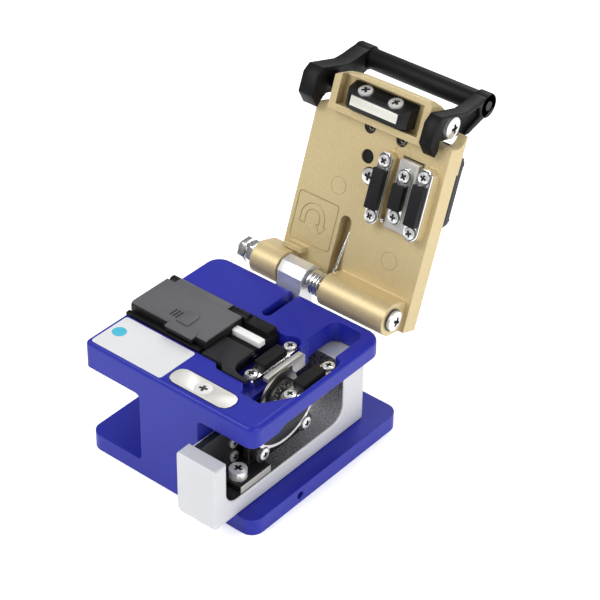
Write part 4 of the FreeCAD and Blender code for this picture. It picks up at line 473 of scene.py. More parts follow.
def islands(node):
    """The loose solids of a frame piece, each a list of its points."""
    work = bmesh.new()
    work.from_mesh(frame["nodes"][node].data)
    bmesh.ops.remove_doubles(work, verts=work.verts, dist=0.001 * MM)
    left = set(work.verts)
    found = []
    while left:
        reached = [left.pop()]
        for corner in reached:
            for edge in corner.link_edges:
                other = edge.other_vert(corner)
                if other in left:
                    left.remove(other)
                    reached.append(other)
        found.append([corner.co.copy() for corner in reached])
    work.free()
    return sorted(found, key=lambda points: tuple(round(sum(point[axis] for point in points)
                                                        / len(points), 5) for axis in range(3)))


def measured(points, facing):
    """Seat, head radius, head height, shank radius and length of a screw, from its solid."""
    side = facing.orthogonal().normalized()
    other = facing.cross(side)
    ends = [(min(point.dot(axis) for point in points), max(point.dot(axis) for point in points))
            for axis in (side, other, facing)]
    middle = side * sum(ends[0]) / 2 + other * sum(ends[1]) / 2
    far = [((point - point.dot(facing) * facing - middle).length, point.dot(facing))
           for point in points]
    widest = max(reach for reach, along in far)
    under = min(along for reach, along in far if reach > widest * 0.95)
    thin = max((reach for reach, along in far if along < under - 0.01 * MM), default=widest * 0.5)
    return middle + facing * under, widest, ends[2][1] - under, thin, under - ends[2][0]


def polished(name, slot, tone, roughness, smudge=0.10, grain=None, plated=1.0):
    """Bare or plated metal: smudged gloss, painted edge highlights, painted shade in recesses
    and, where brushed, its grain.
    """
    metal = Finish(name, slot, metallic=plated)
    painted_edge_highlight = metal.painted_edge_highlight(metal.clouded(220, 3, shaded(tone, 0.86), tone), shaded(tone, 1.35, 0.05),
                      0.4, 0.2 * MM)
    # Faces marked as recess are painted near black: painted shade.
    dark = metal.node("ShaderNodeAttribute", attribute_name="recess", output="Fac")
    metal.colour(metal.mixed(dark * 0.94, painted_edge_highlight, (0.012, 0.012, 0.014)))
    if grain:
        lines = metal.noise(1, 4, stretch=grain)
        metal.rough(roughness + lines * smudge + metal.noise(500, 2) * 0.05)
        metal.bump(lines, 0.006 * MM)
    else:
        metal.rough(roughness + metal.noise(350, 3) * smudge)
        metal.bump(metal.noise(1800, 2), 0.003 * MM)
    return metal


screw_chrome = polished("screw_chrome", "screw_steel", (0.78, 0.78, 0.78), 0.16, plated=0.55)
screw_count = 0


def fitted_screws(node, body, facing, finish=screw_chrome, dome=0.3, recess=0.74, wider=1.0):
    """Detailed screws on the seats of a frame node's plain ones."""
    global screw_count
    screw_count += 1
    found = []
    for points in islands(node):
        centre = sum(points, Vector()) / len(points)
        heading = facing(centre) if callable(facing) else facing
        found.append((measured(points, heading), heading))
    seat, radius, rise, thin, length = found[0][0]
    radius *= wider
    return screw_tree.made(node + "_made", [(sizes[0], heading) for sizes, heading in found],
                           finish, body, node, Head_Radius=radius, Head_Height=rise,
                           Dome=rise * dome, Shank_Radius=thin, Length=length,
                           Recess=radius * recess, Seed=screw_count)


UPWARD = Vector((0, 0, 1))
RIGHTWARD = Vector((1, 0, 0))
BACKWARD = Vector((0, 1, 0))


# --------------------
# Keeper plate: ground steel under the lid's magnet, held flush by one screw; a dark seam of
# shadow shows round it, and its face is lapped to a creamy white.
def cast(name, curve):
    """The mesh of a curve or of a text."""
    holder = shown(name, curve)
    graph = bpy.context.evaluated_depsgraph_get()
    mesh = bpy.data.meshes.new_from_object(holder.evaluated_get(graph))
    bpy.data.objects.remove(holder)
    return mesh


def raised_line(points, width, closed=False):
    """A raised line through points, round-backed."""
    line = bpy.data.curves.new("line", "CURVE")
    line.dimensions = "3D"
    line.bevel_depth = width / 2
    line.bevel_resolution = 2
    run = line.splines.new("POLY")
    run.points.add(len(points) - 1)
    for point, spot in zip(run.points, points):
        point.co = tuple(spot) + (1,)
    run.use_cyclic_u = closed
    return cast("line", line)


def joined(name, meshes):
    """One object from several meshes that are already in place."""
    work = bmesh.new()
    for mesh in meshes:
        work.from_mesh(mesh)
        bpy.data.meshes.remove(mesh)
    return built(name, work)


def arc(x, y, radius, start, end, steps):
    """Points round a centre, from one angle to another in degrees."""
    angles = [radians(start + (end - start) * step / steps) for step in range(steps + 1)]
    return [(x + radius * cos(angle), y + radius * sin(angle)) for angle in angles]


def corners(left, right, front, back, radius, steps=6):
    """The outline of a rectangle with round corners."""
    rim = []
    for x, y, start in ((right - radius, back - radius, 0), (left + radius, back - radius, 90),
                        (left + radius, front + radius, 180),
                        (right - radius, front + radius, 270)):
        rim += arc(x, y, radius, start, start + 90, steps)
    return rim


def inked(name, slot, scale, first, second, **constants):
    """Print and painted shade: two close tones and nothing more."""
    ink = Finish(name, slot, **constants)
    ink.colour(ink.clouded(scale, 2, first, second))
    return ink


ground_steel = Finish("ground_steel", "bright_steel", metallic=0.35)
# Its edges get a painted highlight.
ground_steel.colour(ground_steel.painted_edge_highlight(
    ground_steel.clouded(90, 3, (0.60, 0.59, 0.56), (0.69, 0.68, 0.66)),
    (0.95, 0.94, 0.92), 0.4, 0.2 * MM))
ground_lines = ground_steel.noise(1, 3, stretch=(90, 2600, 90))
ground_steel.rough(0.34 + ground_lines * 0.12)
ground_steel.bump(ground_lines, 0.003 * MM)
edged("keeper_plate", ground_steel, "base", 0.12 * MM)
lapped_steel = polished("lapped_steel", "screw_steel", (0.74, 0.73, 0.70), 0.30, plated=0.3)
fitted_screws("keeper_screw", "base", UPWARD, lapped_steel, dome=0.12, recess=0.62)
black_shade = inked("seam_shade", "black_metal", 600, (0.003, 0.003, 0.004),
                    (0.008, 0.008, 0.010), roughness=0.7, specular=0.1)
keeper_low, keeper_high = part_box("keeper_plate")
SEAM_OUT, SEAM_SUNK, SEAM_WIDTH = 0.12 * MM, 0.21 * MM, 0.42 * MM
keeper_rim = corners(keeper_low.x - SEAM_OUT, keeper_high.x + SEAM_OUT, keeper_low.y - SEAM_OUT,
                     keeper_high.y + SEAM_OUT, (keeper_high.y - keeper_low.y) / 2 + SEAM_OUT, 8)
seam_line = raised_line([(x, y, keeper_high.z - SEAM_SUNK) for x, y in keeper_rim], SEAM_WIDTH,
                        closed=True)
finished(joined("keeper_seam", [seam_line]), black_shade, "base")


# --------------------
# Lower fibre clamps: two chromed round-ended blocks, each with a black rubber bonded along its
# middle and a screw through each end.
chrome = polished("chrome_plate", "chrome_steel", (0.82, 0.82, 0.83), 0.10, smudge=0.12)
for side in ("left", "right"):
    edged("lower_clamp_" + side, chrome, "base", 0.18 * MM)
    edged("lower_rubber_" + side, black_rubber, "base", 0.15 * MM)
fitted_screws("lower_clamp_screws", "base", UPWARD)


# --------------------
# Rest bar: a machined steel bar that steadies the fibre beside the blade, its rear block and
# flange screwed to the ledge. Milling leaves fine lines along it.
milled_steel = polished("milled_steel", "bright_steel", (0.54, 0.53, 0.50), 0.34,
                        grain=(1800, 120, 120), plated=0.75)
edged("rest_bar", milled_steel, "base", 0.10 * MM)
fitted_screws("rest_bar_screws", "base", UPWARD)


# --------------------
# Linear rail: a hardened steel rail screwed in the web's groove, with counterbored screws. It
# is ground along its length, in the same steel as the rest bar.
edged("linear_rail", milled_steel, "base", 0.15 * MM)
fitted_screws("rail_screws", "base", RIGHTWARD)


# --------------------
# Hinge: an eight-sided silver block behind the deck carries the pin; two hex nuts hold the
# pin's left end and a flanged screw its right end.
silver_block = Finish("silver_anodised", "chrome_steel", metallic=0.75)
# Its edges get a painted highlight.
silver_block.colour(silver_block.painted_edge_highlight((0.74, 0.75, 0.78), (0.95, 0.95, 0.97), 0.5, 0.3 * MM))
silver_block.rough(0.30 + silver_block.noise(600, 3) * 0.14)
silver_block.bump(silver_block.noise(2200, 2), 0.008 * MM)
edged("hinge_block", silver_block, "base", 0.22 * MM)
fitted_screws("hinge_block_screws", "base", BACKWARD)
edged("hinge_pin", chrome, "base", 0.2 * MM)
edged("hinge_nuts", chrome, "base", 0.22 * MM)
fitted_screws("hinge_end_screw", "base", RIGHTWARD, dome=0.35, recess=0.6)


def middle(node):
    low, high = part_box(node)
    return (low + high) / 2


# The thread on the pin's free end: fine ridges run round it, tip to nut.
thread_low, thread_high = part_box("hinge_pin")
thread_axis = middle("hinge_pin")
thread_tree = Shaping("pin_thread", "Radius", "Ridge")
ridge_ring = thread_tree.node("GeometryNodeCurvePrimitiveCircle", 28,
                              Radius=thread_tree.input("Radius"))
ridge_form = thread_tree.node("GeometryNodeCurvePrimitiveCircle", 4,
                              Radius=thread_tree.input("Ridge"))
thread_tree.planted(thread_tree.node("GeometryNodeCurveToMesh", ridge_ring, ridge_form))
THREAD_PITCH = 0.4 * MM
thread_seats = []
thread_x = thread_low.x + THREAD_PITCH
while thread_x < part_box("hinge_nuts")[0].x:
    thread_seats.append(((thread_x, thread_axis.y, thread_axis.z), RIGHTWARD))
    thread_x += THREAD_PITCH
thread_tree.made("pin_thread", thread_seats, chrome, "base", Ridge=0.14 * MM,
                 Radius=(thread_high.z - thread_low.z) / 2)


# --------------------
# Blade slider: an aluminium casting, bead-blasted outside and machined inside, which runs on
# the rail by a steel carriage held with four screws. Its inside is painted dark with painted
# shade and reflection, and its edges have a painted highlight.
blasted = Finish("blasted_aluminium", "cast_aluminium")
grit = blasted.noise(3000, 3)
along, across, height = [blasted.along(axis) for axis in range(3)]
slider_low, slider_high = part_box("slider_casting")
WALL_BACK = slider_low.y + 6.1 * MM
SLIDER_SKIN, SLIDER_FOOT, SHADE_RISE_HEIGHT = 0.4 * MM, 0.5 * MM, 17 * MM
cut_out = (along.within(slider_low.x + SLIDER_SKIN, slider_high.x - SLIDER_SKIN)
           * across.within(WALL_BACK, slider_high.y - SLIDER_SKIN)
           * height.within(slider_low.z + SLIDER_FOOT, slider_high.z - SLIDER_SKIN))
# Painted light and shade inside the cut-out: lighter towards the back, darker higher up under the
# deck, with grain.
painted_glow_to_back = ((across - WALL_BACK) / (slider_high.y - WALL_BACK)).kept()
painted_shade_up_wall = ((height - slider_low.z) / SHADE_RISE_HEIGHT).kept()
# Outside, the edges get a painted highlight.
outside = blasted.painted_edge_highlight(
    blasted.clouded(70, 3, (0.53, 0.535, 0.55), (0.60, 0.605, 0.62)),
    (0.90, 0.90, 0.92), 0.7, 0.3 * MM)
inside = blasted.mixed(((grit - 0.5) * 1.8 + painted_glow_to_back * 1.1 - painted_shade_up_wall * 0.8).kept(),
                       (0.028, 0.028, 0.030), (0.72, 0.72, 0.74))
blasted.colour(blasted.mixed(cut_out, outside, inside))
blasted.fed("Metallic", 0.25 + cut_out * 0.15)
blasted.rough(0.46 - cut_out * 0.18 + grit * 0.16)
blasted.bump(grit, 0.022 * MM, soft=0.4 * MM)
coated(frame["nodes"]["slider_casting"], blasted)
edged("rail_carriage", milled_steel, "slider", 0.15 * MM)
fitted_screws("slider_screws", "slider", RIGHTWARD)


# --------------------
# Blade arm: a blackened steel bracket on the slider's floor, held by one tall cheese-head
# screw; its plate carries the axle and the two ears of the guard.
def blackened(name, slot, tone, roughness, painted_edge_highlight, coat=0.0):
    """Blackened or black-painted metal, with a painted highlight on its edges."""
    metal = Finish(name, slot, metallic=0.2, specular=0.3, coat_weight=coat, coat_roughness=0.1)
    metal.tone = metal.painted_edge_highlight(metal.clouded(130, 3, shaded(tone, 0.75), tone), painted_edge_highlight, 0.7,
                            0.25 * MM)
    metal.colour(metal.tone)
    metal.rough(roughness + metal.noise(600, 3) * 0.14)
    metal.bump(metal.noise(1500, 2), 0.006 * MM)
    return metal


black_steel = blackened("black_steel", "black_metal", (0.012, 0.012, 0.013), 0.28,
                        (0.16, 0.16, 0.17), coat=0.12)
arm_low, arm_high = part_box("blade_arm")
FOOT_TOP = arm_low.z + 3.0 * MM
arm_steel = blackened("arm_steel", "black_metal", (0.012, 0.012, 0.013), 0.28,
                      (0.30, 0.30, 0.31), coat=0.12)
sawn_edge = (arm_steel.along(0).above(arm_high.x - 0.06 * MM)
             * (1 - arm_steel.along(2).above(FOOT_TOP)))
arm_steel.colour(arm_steel.mixed(sawn_edge, arm_steel.tone, (0.36, 0.35, 0.32)))
edged("blade_arm", arm_steel, "slider", 0.14 * MM)
fitted_screws("arm_screw", "slider", UPWARD, dome=0.10, recess=0.62)


# --------------------
# Blade guard: a crescent of dark steel below the blade, a painted highlight along its outer rim
# below the axle, a chromed screw through each ear.
def ringed(finish, centre):
    """Distance from an axle that runs along X, for marks and painted highlights that go round it.
    """
    centred = finish.node("ShaderNodeVectorMath", finish.place, centre, operation="SUBTRACT")
    flat = finish.node("ShaderNodeVectorMath", centred, (0, 1, 1), operation="MULTIPLY")
    return finish.node("ShaderNodeVectorMath", flat, operation="LENGTH", output="Value")


GUARD_RIM = 14.8 * MM               # the crescent's outer radius about the axle
axle_centre = middle("blade_axle")
dark_steel = blackened("dark_steel_guard", "dark_steel", (0.016, 0.016, 0.018), 0.30,
                       (0.45, 0.45, 0.46))
# The rim below the axle is painted bright: a painted highlight.
rim_highlight = (ringed(dark_steel, axle_centre).within(GUARD_RIM - 1.0 * MM, GUARD_RIM + 0.05 * MM)
              * (1 - dark_steel.along(2).above(axle_centre.z - 3.0 * MM)))
dark_steel.colour(dark_steel.mixed(rim_highlight, dark_steel.tone, (0.70, 0.69, 0.66)))
edged("blade_guard", dark_steel, "slider", 0.16 * MM)
fitted_screws("guard_screws", "slider", RIGHTWARD)


# --------------------
# Blade wheel: a round carbide blade, lapped in rings and ground to its rim, under a dial with
# sixteen numbered positions; both turn on the axle, a headed screw in the arm.
wheel_low, wheel_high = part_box("blade_wheel")
dial_low, dial_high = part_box("blade_dial")
hub = middle("blade_dial")
dial_radius = (dial_high.y - dial_low.y) / 2
GROUND_BAND = 0.75 * MM
carbide = Finish("lapped_carbide", "blade_carbide", metallic=1.0)
from_axle = ringed(carbide, hub)
rings = carbide.node("ShaderNodeTexNoise", W=from_axle * 9000, Scale=1.0, Detail=2.0,
                     noise_dimensions="1D")
carbide.colour(carbide.mixed(from_axle.above((wheel_high.y - wheel_low.y) / 2 - GROUND_BAND),
                             (0.16, 0.155, 0.145), (0.20, 0.19, 0.17)))
carbide.rough(0.26 + rings * 0.18)
carbide.bump(rings, 0.003 * MM)
edged("blade_wheel", carbide, "wheel", 0.05 * MM, segments=1)

dial_black = blackened("dial_black", "dial_metal", (0.030, 0.030, 0.032), 0.30,
                       (0.30, 0.30, 0.30))
edged("blade_dial", dial_black, "wheel", 0.15 * MM)
fitted_screws("blade_axle", "slider", RIGHTWARD, dome=0.3)

# Its marks: a fine stroke at each position by the rim, and its number inside the strokes.
DIAL_POSITIONS = 16
dial_print = inked("dial_print", "dial_metal", 900, (0.62, 0.60, 0.34),
                   (0.80, 0.78, 0.50), roughness=0.5)
mark_tree = Shaping("straight_marks", "Length", "Width", "Height")
mark_size = mark_tree.combined(*[mark_tree.input(word) for word in ("Length", "Width", "Height")])
mark_tree.planted(mark_tree.node("GeometryNodeMeshCube", mark_size), axis="X")


def on_dial(turn, inset):
    """A point of the dial's face, inset from its rim, and the way outward there."""
    outward = Vector((0, cos(turn), sin(turn)))
    return Vector((dial_high.x, hub.y, hub.z)) + outward * (dial_radius - inset), outward


strokes = [on_dial(pi * step / DIAL_POSITIONS, 0.62 * MM)
           for step in range(DIAL_POSITIONS * 2)]
mark_tree.made("dial_marks", strokes, dial_print, "wheel", Length=0.55 * MM, Width=0.16 * MM,
               Height=0.06 * MM)


def lettered(words, size, height):
    """Raised generic lettering as a flat mesh, its middle at the origin, reading along +X."""
    text = bpy.data.curves.new("lettering", "FONT")
    text.body = words
    text.size = size
    text.extrude = height / 2
    text.align_x = "CENTER"
    text.align_y = "CENTER"
    text.resolution_u = 3
    return cast("lettering", text)


figures = []
for step in range(DIAL_POSITIONS):
    spot, outward = on_dial(2 * pi * step / DIAL_POSITIONS, 1.75 * MM)
    figure = lettered(str(step + 1), 1.35 * MM, 0.06 * MM)
    upright = Matrix((outward.cross(RIGHTWARD), outward, RIGHTWARD)).transposed()
    figure.transform(Matrix.Translation(spot) @ upright.to_4x4())
    figures.append(figure)
finished(joined("dial_figures", figures), dial_print, "wheel")


# --------------------
# Lid casting: a second die casting in champagne metallic paint, swung open on its stop. Fine
# metal flakes give the satin its grain.
hinge = [joint for joint in frame["joints"] if joint["name"] == "lid_hinge"][0]
LID_TURN = radians(hinge["range_deg"][1])
HINGE_AXIS = Vector(hinge["pos_m"])
LID_FORWARD = Vector((0, -cos(LID_TURN), sin(LID_TURN)))
LID_INWARD = Vector((0, -sin(LID_TURN), -cos(LID_TURN)))
LID_FACE = 5.0                      # millimetres from the hinge axis out to the inner face
BODY_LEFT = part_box("body_casting")[0].x


def on_lid(across, reach, proud=0.0):
    """A point of the lid: millimetres from the body's left side, from the hinge axis, and
    proud of the lid's inner face."""
    return (Vector((BODY_LEFT + across * MM, HINGE_AXIS.y, HINGE_AXIS.z))
            + LID_FORWARD * reach * MM + LID_INWARD * (proud - LID_FACE) * MM)


gold_satin = Finish("champagne_satin", "gold_paint", metallic=0.45, coat_weight=0.15,
                    coat_roughness=0.3)
flakes = gold_satin.noise(4200, 2)
gold_grain = gold_satin.mixed(
    ((flakes - 0.55) * 5.0).kept() * 0.7,
    gold_satin.clouded(45, 3, (0.50, 0.395, 0.205), (0.58, 0.465, 0.250)),
    (0.80, 0.70, 0.45))
# Its sharp edges get a painted highlight.
gold_satin.colour(gold_satin.painted_edge_highlight(gold_grain, (0.88, 0.79, 0.56), 0.5))
gold_satin.rough(0.40 + flakes * 0.16)
gold_satin.bump(gold_satin.noise(1600, 3), 0.018 * MM, soft=0.4 * MM)
coated(frame["nodes"]["lid_casting"], gold_satin)


def shell(name, work, soft=0.0):
    """The object of a closed bmesh, its edges rounded where asked."""
    bmesh.ops.recalc_face_normals(work, faces=work.faces)
    piece = built(name, work)
    return rounded(piece, soft) if soft else piece


def prism(name, first, second, soft=0.0):
    """A solid between two like outlines, given as points."""
    work = bmesh.new()
    ends = [[work.verts.new(place) for place in outline] for outline in (first, second)]
    work.faces.new(ends[0])
    work.faces.new(ends[1])
    for index in range(len(first)):
        work.faces.new((ends[0][index - 1], ends[0][index], ends[1][index], ends[1][index - 1]))
    return shell(name, work, soft)


def drum(name, foot, axis, radius, length, inner=0.0, soft=0.0):
    """A disc or a ring that stands on a point, along an axis."""
    side = axis.orthogonal().normalized()
    other = axis.cross(side)
    work = bmesh.new()
    rings = []
    for reach, rise in ((radius, 0), (radius, length), (inner, length), (inner, 0)):
        if reach:
            rings.append([work.verts.new(foot + axis * rise + reach * (side * x + other * y))
                          for x, y in arc(0, 0, 1, 0, 360, 40)[:-1]])
    for low, high in zip(rings, rings[1:] + (rings[:1] if inner else [])):
        for step in range(len(low)):
            work.faces.new((low[step - 1], low[step], high[step], high[step - 1]))
    if not inner:
        work.faces.new(rings[0])
        work.faces.new(rings[1])
    return shell(name, work, soft)


# The lid's right ear reaches past the plate's end and is scooped clear of the pivot screw. Its
# outline is given as reach from the hinge axis and depth behind it.
EAR_LEFT, EAR_RIGHT = 58.9, 61.98
EAR_OUTLINE = ((43.0, 5.02), (50.7, 5.02), (51.1, 6.2), (50.9, 7.6), (51.2, 9.0), (52.0, 10.2),
               (53.2, 11.0), (54.6, 11.3), (54.3, 11.58), (43.0, 11.58))
ear_ends = [[on_lid(across, reach, LID_FACE - depth) for reach, depth in EAR_OUTLINE]
            for across in (EAR_LEFT, EAR_RIGHT)]
finished(prism("lid_ear", *ear_ends), gold_satin, "lid")

# A black disc fills the lid's round hole, a little below its inner face: painted shade for the
# dark seen through the hole.
finished(drum("lid_hole_stop", on_lid(35.9, 39.6, -3.0), LID_INWARD, radius=2.08 * MM,
              length=2.3 * MM), black_rubber, "lid")

# A steel pin by the left clamp stops the anvil's plate.
finished(drum("anvil_stop_pin", on_lid(46.9, 24.6, -0.5), LID_INWARD, radius=0.55 * MM,
              length=2.7 * MM, soft=0.12 * MM), chrome, "lid")


def lid_points(*places):
    return [on_lid(across, reach) for across, reach in places]


# Moulded on its inner face: a frame round a curved closing arrow, and the ejector-pin rings.
# Places are millimetres across the lid and along it.
FRAME_LINE, ARROW_LINE, RING_LINE = 0.34 * MM, 0.30 * MM, 0.16 * MM
FRAME_CORNER, RING_RADIUS = 1.0, 2.6
frame_rim = corners(16.4, 30.9, 8.0, 22.3, FRAME_CORNER, 5)
mouldings = [raised_line(lid_points(*frame_rim), FRAME_LINE, closed=True)]
for radius, tail, tip in ((4.3, 18.6, 27.2), (2.5, 20.4, 25.4)):
    bow = [(tail, 13.4), *arc(22.9, 15.8, radius, 180, 0, 18), (tip, 14.3)]
    mouldings.append(raised_line(lid_points(*bow), ARROW_LINE))
for line in (((18.6, 13.4), (20.4, 13.4)), ((24.5, 14.3), (25.4, 14.3)),
             ((27.2, 14.3), (28.1, 14.3), (26.3, 11.9), (24.5, 14.3))):
    mouldings.append(raised_line(lid_points(*line), ARROW_LINE))
for across, reach in ((28.8, 28.1), (51.5, 13.7), (47.0, 44.5)):
    ring = arc(across, reach, RING_RADIUS, 0, 342, 20)
    mouldings.append(raised_line(lid_points(*ring), RING_LINE, closed=True))
# The moulded lines are a darker gold than the lid round them: painted shade along them.
shaded_gold_line = inked("champagne_line", "gold_paint", 300, (0.30, 0.235, 0.12),
                  (0.42, 0.335, 0.18), metallic=0.45, roughness=0.42)
finished(joined("lid_mouldings", mouldings), shaded_gold_line, "lid")


# --------------------
# Upper clamps: chromed plates on the lid's bosses, each with a rubber pad and two screws; the
# sprung anvil stands between them on its own carrier, with a shorter plate and pad.
for side in ("left", "right"):
    edged("upper_clamp_" + side, chrome, "lid", 0.12 * MM)
    edged("upper_rubber_" + side, black_rubber, "lid", 0.15 * MM)
fitted_screws("upper_clamp_screws", "lid", LID_INWARD)
edged("anvil_carrier", milled_steel, "anvil", 0.12 * MM)
edged("anvil_plate", chrome, "anvil", 0.12 * MM)
edged("anvil_rubber", black_rubber, "anvil", 0.15 * MM)
fitted_screws("anvil_screws", "anvil", LID_INWARD)
fitted_screws("lid_screw", "lid", LID_INWARD)

# The carrier's two springs, wound wire seen only when the anvil is pressed.
COIL_INSET, COIL_WIRE, COIL_TURNS = 0.25 * MM, 0.2 * MM, 6.0
coil_tree = Shaping("wound_spring", "Radius", "Wire", "Height", "Turns")
coil_radius = coil_tree.input("Radius")
coil_line = coil_tree.node("GeometryNodeCurveSpiral", 14, coil_tree.input("Turns"),
                           coil_radius, coil_radius, coil_tree.input("Height"))
coil_wire = coil_tree.node("GeometryNodeCurvePrimitiveCircle", 8,
                           Radius=coil_tree.input("Wire"))
coil_tree.planted(coil_tree.node("GeometryNodeCurveToMesh", coil_line, coil_wire, None, True))
spring_seats = []
for points in islands("anvil_springs"):
    seat, spring_reach, rise, thin, length = measured(points, LID_INWARD)
    low = min(point.dot(LID_INWARD) for point in points)
    high = max(point.dot(LID_INWARD) for point in points)
    spring_seats.append((seat + LID_INWARD * (low - seat.dot(LID_INWARD) + COIL_INSET),
                         LID_INWARD))
coil_tree.made("anvil_coils", spring_seats, chrome, "lid", "anvil_springs",
               Radius=spring_reach - COIL_INSET, Wire=COIL_WIRE,
               Height=high - low - 2 * COIL_INSET, Turns=COIL_TURNS)


# --------------------
# Magnet and its holder: a nickel-plated bar magnet set in a bevelled black block, which two
# chromed screws hold in the lid's rim. Two grey set screws adjust it from the inner face.
gloss_black = blackened("gloss_black", "black_metal", (0.008, 0.008, 0.009), 0.36,
                        (0.06, 0.06, 0.065), coat=0.1)
nickel = Finish("nickel_face", "magnet_nickel", metallic=0.25)
nickel.colour(nickel.clouded(120, 3, (0.62, 0.61, 0.55), (0.70, 0.69, 0.63)))
nickel.rough(0.34 + nickel.noise(800, 3) * 0.12)
nickel.bump(nickel.noise(2000, 2), 0.004 * MM)
edged("magnet_holder", gloss_black, "lid", 0.22 * MM)
edged("magnet", nickel, "lid", 0.10 * MM)
BEVEL_SUNK, BEVEL_LONG = 2.8, 4.8   # the block's bevelled face, which its screws stand on
MAGNET_TILT = atan2(BEVEL_SUNK, BEVEL_LONG)
MAGNET_SLOPE = LID_FORWARD * cos(MAGNET_TILT) + LID_INWARD * sin(MAGNET_TILT)
fitted_screws("magnet_screws", "lid", MAGNET_SLOPE, dome=0.25, wider=1.22)
grey_steel = polished("grey_steel", "screw_steel", (0.30, 0.29, 0.28), 0.28)
edged("set_screws", grey_steel, "lid", 0.10 * MM)
# A black ring round each set screw, a little below the inner face, is painted shade for the
# pocket it sits in.
for side, across in (("left", 34.4), ("right", 45.6)):
    finished(drum("set_screw_seat_" + side, on_lid(across, 48.0, -0.35), LID_INWARD,
                  radius=1.95 * MM, length=0.39 * MM, inner=1.40 * MM), black_steel, "lid")


# --------------------
# Grip pad: dark rubber glued to the lid's outer face, where the thumb closes it. Its ribs are
# moulded in one with it.
PAD_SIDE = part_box("lid_grip_pad")[1].x - 1.2 * MM
PAD_LEVEL, PAD_WIDER, PAD_DEEPER = 13.5, 1.18 * MM, 1.0 * MM
PAD_TOP = on_lid(0, 0, LID_FACE - PAD_LEVEL).dot(LID_INWARD)


def pad_grown(place):
    """The pad's face stands further out, and its right side comes flush with the lid's."""
    grown = place.copy()
    if place.x > PAD_SIDE:
        grown.x += PAD_WIDER
    if place.dot(LID_INWARD) < PAD_TOP:
        grown -= LID_INWARD * PAD_DEEPER
    return grown


edged("lid_grip_pad", grey_rubber, "lid", 0.25 * MM, placed=pad_grown)


# --------------------
# Torsion spring: round spring wire wound on the hinge pin; its straight leg lies in the lid's
# slot and swings with it.
SPRING_START, SPRING_RISE, SPRING_WIRE, SPRING_REACH = 31.6, 4.0, 0.5, 3.2
SPRING_TURNS, TURN_STEPS = 3.5, 20
wound = []
for step in range(int(SPRING_TURNS * TURN_STEPS) + 1):
    angle = 2 * pi * step / TURN_STEPS + pi * (2 - SPRING_TURNS * 2)
    along = SPRING_START + SPRING_RISE * step / (SPRING_TURNS * TURN_STEPS)
    wound.append(on_lid(along, -sin(angle) * SPRING_REACH,
                        LID_FACE - cos(angle) * SPRING_REACH))
for reach, proud in ((2.0, 1.8), (5.0, 1.5), (9.0, 0.6), (13.0, -0.6), (16.5, -1.6)):
    wound.append(on_lid(SPRING_START + SPRING_RISE, reach, proud))
torsion_coil = joined("torsion_coil", [raised_line(wound, SPRING_WIRE * 2 * MM)])
finished(torsion_coil, chrome, "lid", "torsion_spring", crease=60)


# --------------------
# Handle: two black moulded arms, ribbed round a sunk web, on shouldered pivot screws; a round
# bar on a through rod joins them.
def moulded(name, slot, tone, roughness, sheen_edge):
    """Moulded plastic: satin spark-eroded skin with a painted highlight on its edges."""
    plastic = Finish(name, slot, specular=0.15)
    plastic.tone = plastic.painted_edge_highlight(plastic.clouded(160, 3, shaded(tone, 0.8), tone), sheen_edge,
                                0.6, 0.3 * MM)
    plastic.colour(plastic.tone)
    plastic.rough(roughness + plastic.noise(1100, 2) * 0.12)
    plastic.bump(plastic.noise(2400, 3), 0.010 * MM)
    return plastic


handle_plastic = moulded("handle_plastic", "black_plastic", (0.0045, 0.0045, 0.0055), 0.44,
                         (0.050, 0.050, 0.058))
LEFT_GROWN, LEFT_MOVED, RIGHT_MOVED = 4.0 * MM, 2.3 * MM, 0.5 * MM
BAR_MOVED, BAR_THICKER = LEFT_MOVED + 0.3 * MM, 0.17
rod_axis = middle("handle_rod")
pivot_axis = middle("handle_pivot_screws")
left_low, left_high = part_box("handle_arm_left")
right_low, right_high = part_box("handle_arm_right")
arm_mid = (left_low.x + left_high.x) / 2


def slid(limit, near, far=0):
    """Moves points to the left, those left of a limit by one amount and the rest by another."""
    return lambda place: place - RIGHTWARD * (near if place.x < limit else far)


def bar_grown(place):
    """A thicker bar that reaches both arms."""
    out = Vector((0, place.y - rod_axis.y, place.z - rod_axis.z))
    grown = place + out * (BAR_THICKER if out.length > 2 * MM else 0)
    return grown - RIGHTWARD * (BAR_MOVED if place.x < 0 else 0)


# The left arm stands a little off the lid's neck and is thicker than the right one.
edged("handle_arm_left", handle_plastic, "handle", 0.28 * MM,
      placed=slid(arm_mid + 0.3 * MM, LEFT_GROWN, LEFT_MOVED))
edged("handle_arm_right", handle_plastic, "handle", 0.28 * MM,
      placed=slid(right_low.x + 0.1 * MM, RIGHT_MOVED))
edged("handle_bar", handle_plastic, "handle", 0.20 * MM, placed=bar_grown)
edged("handle_rod", black_steel, "handle", 0.10 * MM)
pivots = fitted_screws("handle_pivot_screws", "lid",
                       lambda centre: RIGHTWARD if centre.x > 0.005 else -RIGHTWARD, dome=0.35,
                       recess=0.55)
for corner in pivots.data.vertices:
    corner.co.x -= LEFT_GROWN if corner.co.x < 0 else 0


def crosswise(name, start, axis, radius, length, finish, soft=0.0, outward=RIGHTWARD):
    """A disc on the handle, along X from a point of the rod's or the pivots' axis."""
    foot = Vector((start, axis.y, axis.z))
    finished(drum(name, foot, outward, radius, length, soft=soft), finish, "handle")


# Round bosses close the arms' ends about the rod, and a spacer carries the left arm's pivot.
BOSS_LENGTH, SPACER = 5.2 * MM, 2.6 * MM
left_end = left_low.x - LEFT_GROWN
boss_radius = right_high.y - rod_axis.y
crosswise("handle_boss_left", left_end, rod_axis, boss_radius, BOSS_LENGTH, handle_plastic,
          soft=0.3 * MM)
crosswise("handle_boss_right", right_low.x - RIGHT_MOVED, rod_axis, boss_radius,
          right_high.x - right_low.x + RIGHT_MOVED, handle_plastic, soft=0.3 * MM)
crosswise("pivot_spacer", left_high.x - LEFT_MOVED - 0.1 * MM, pivot_axis, SPACER, SPACER,
          handle_plastic)


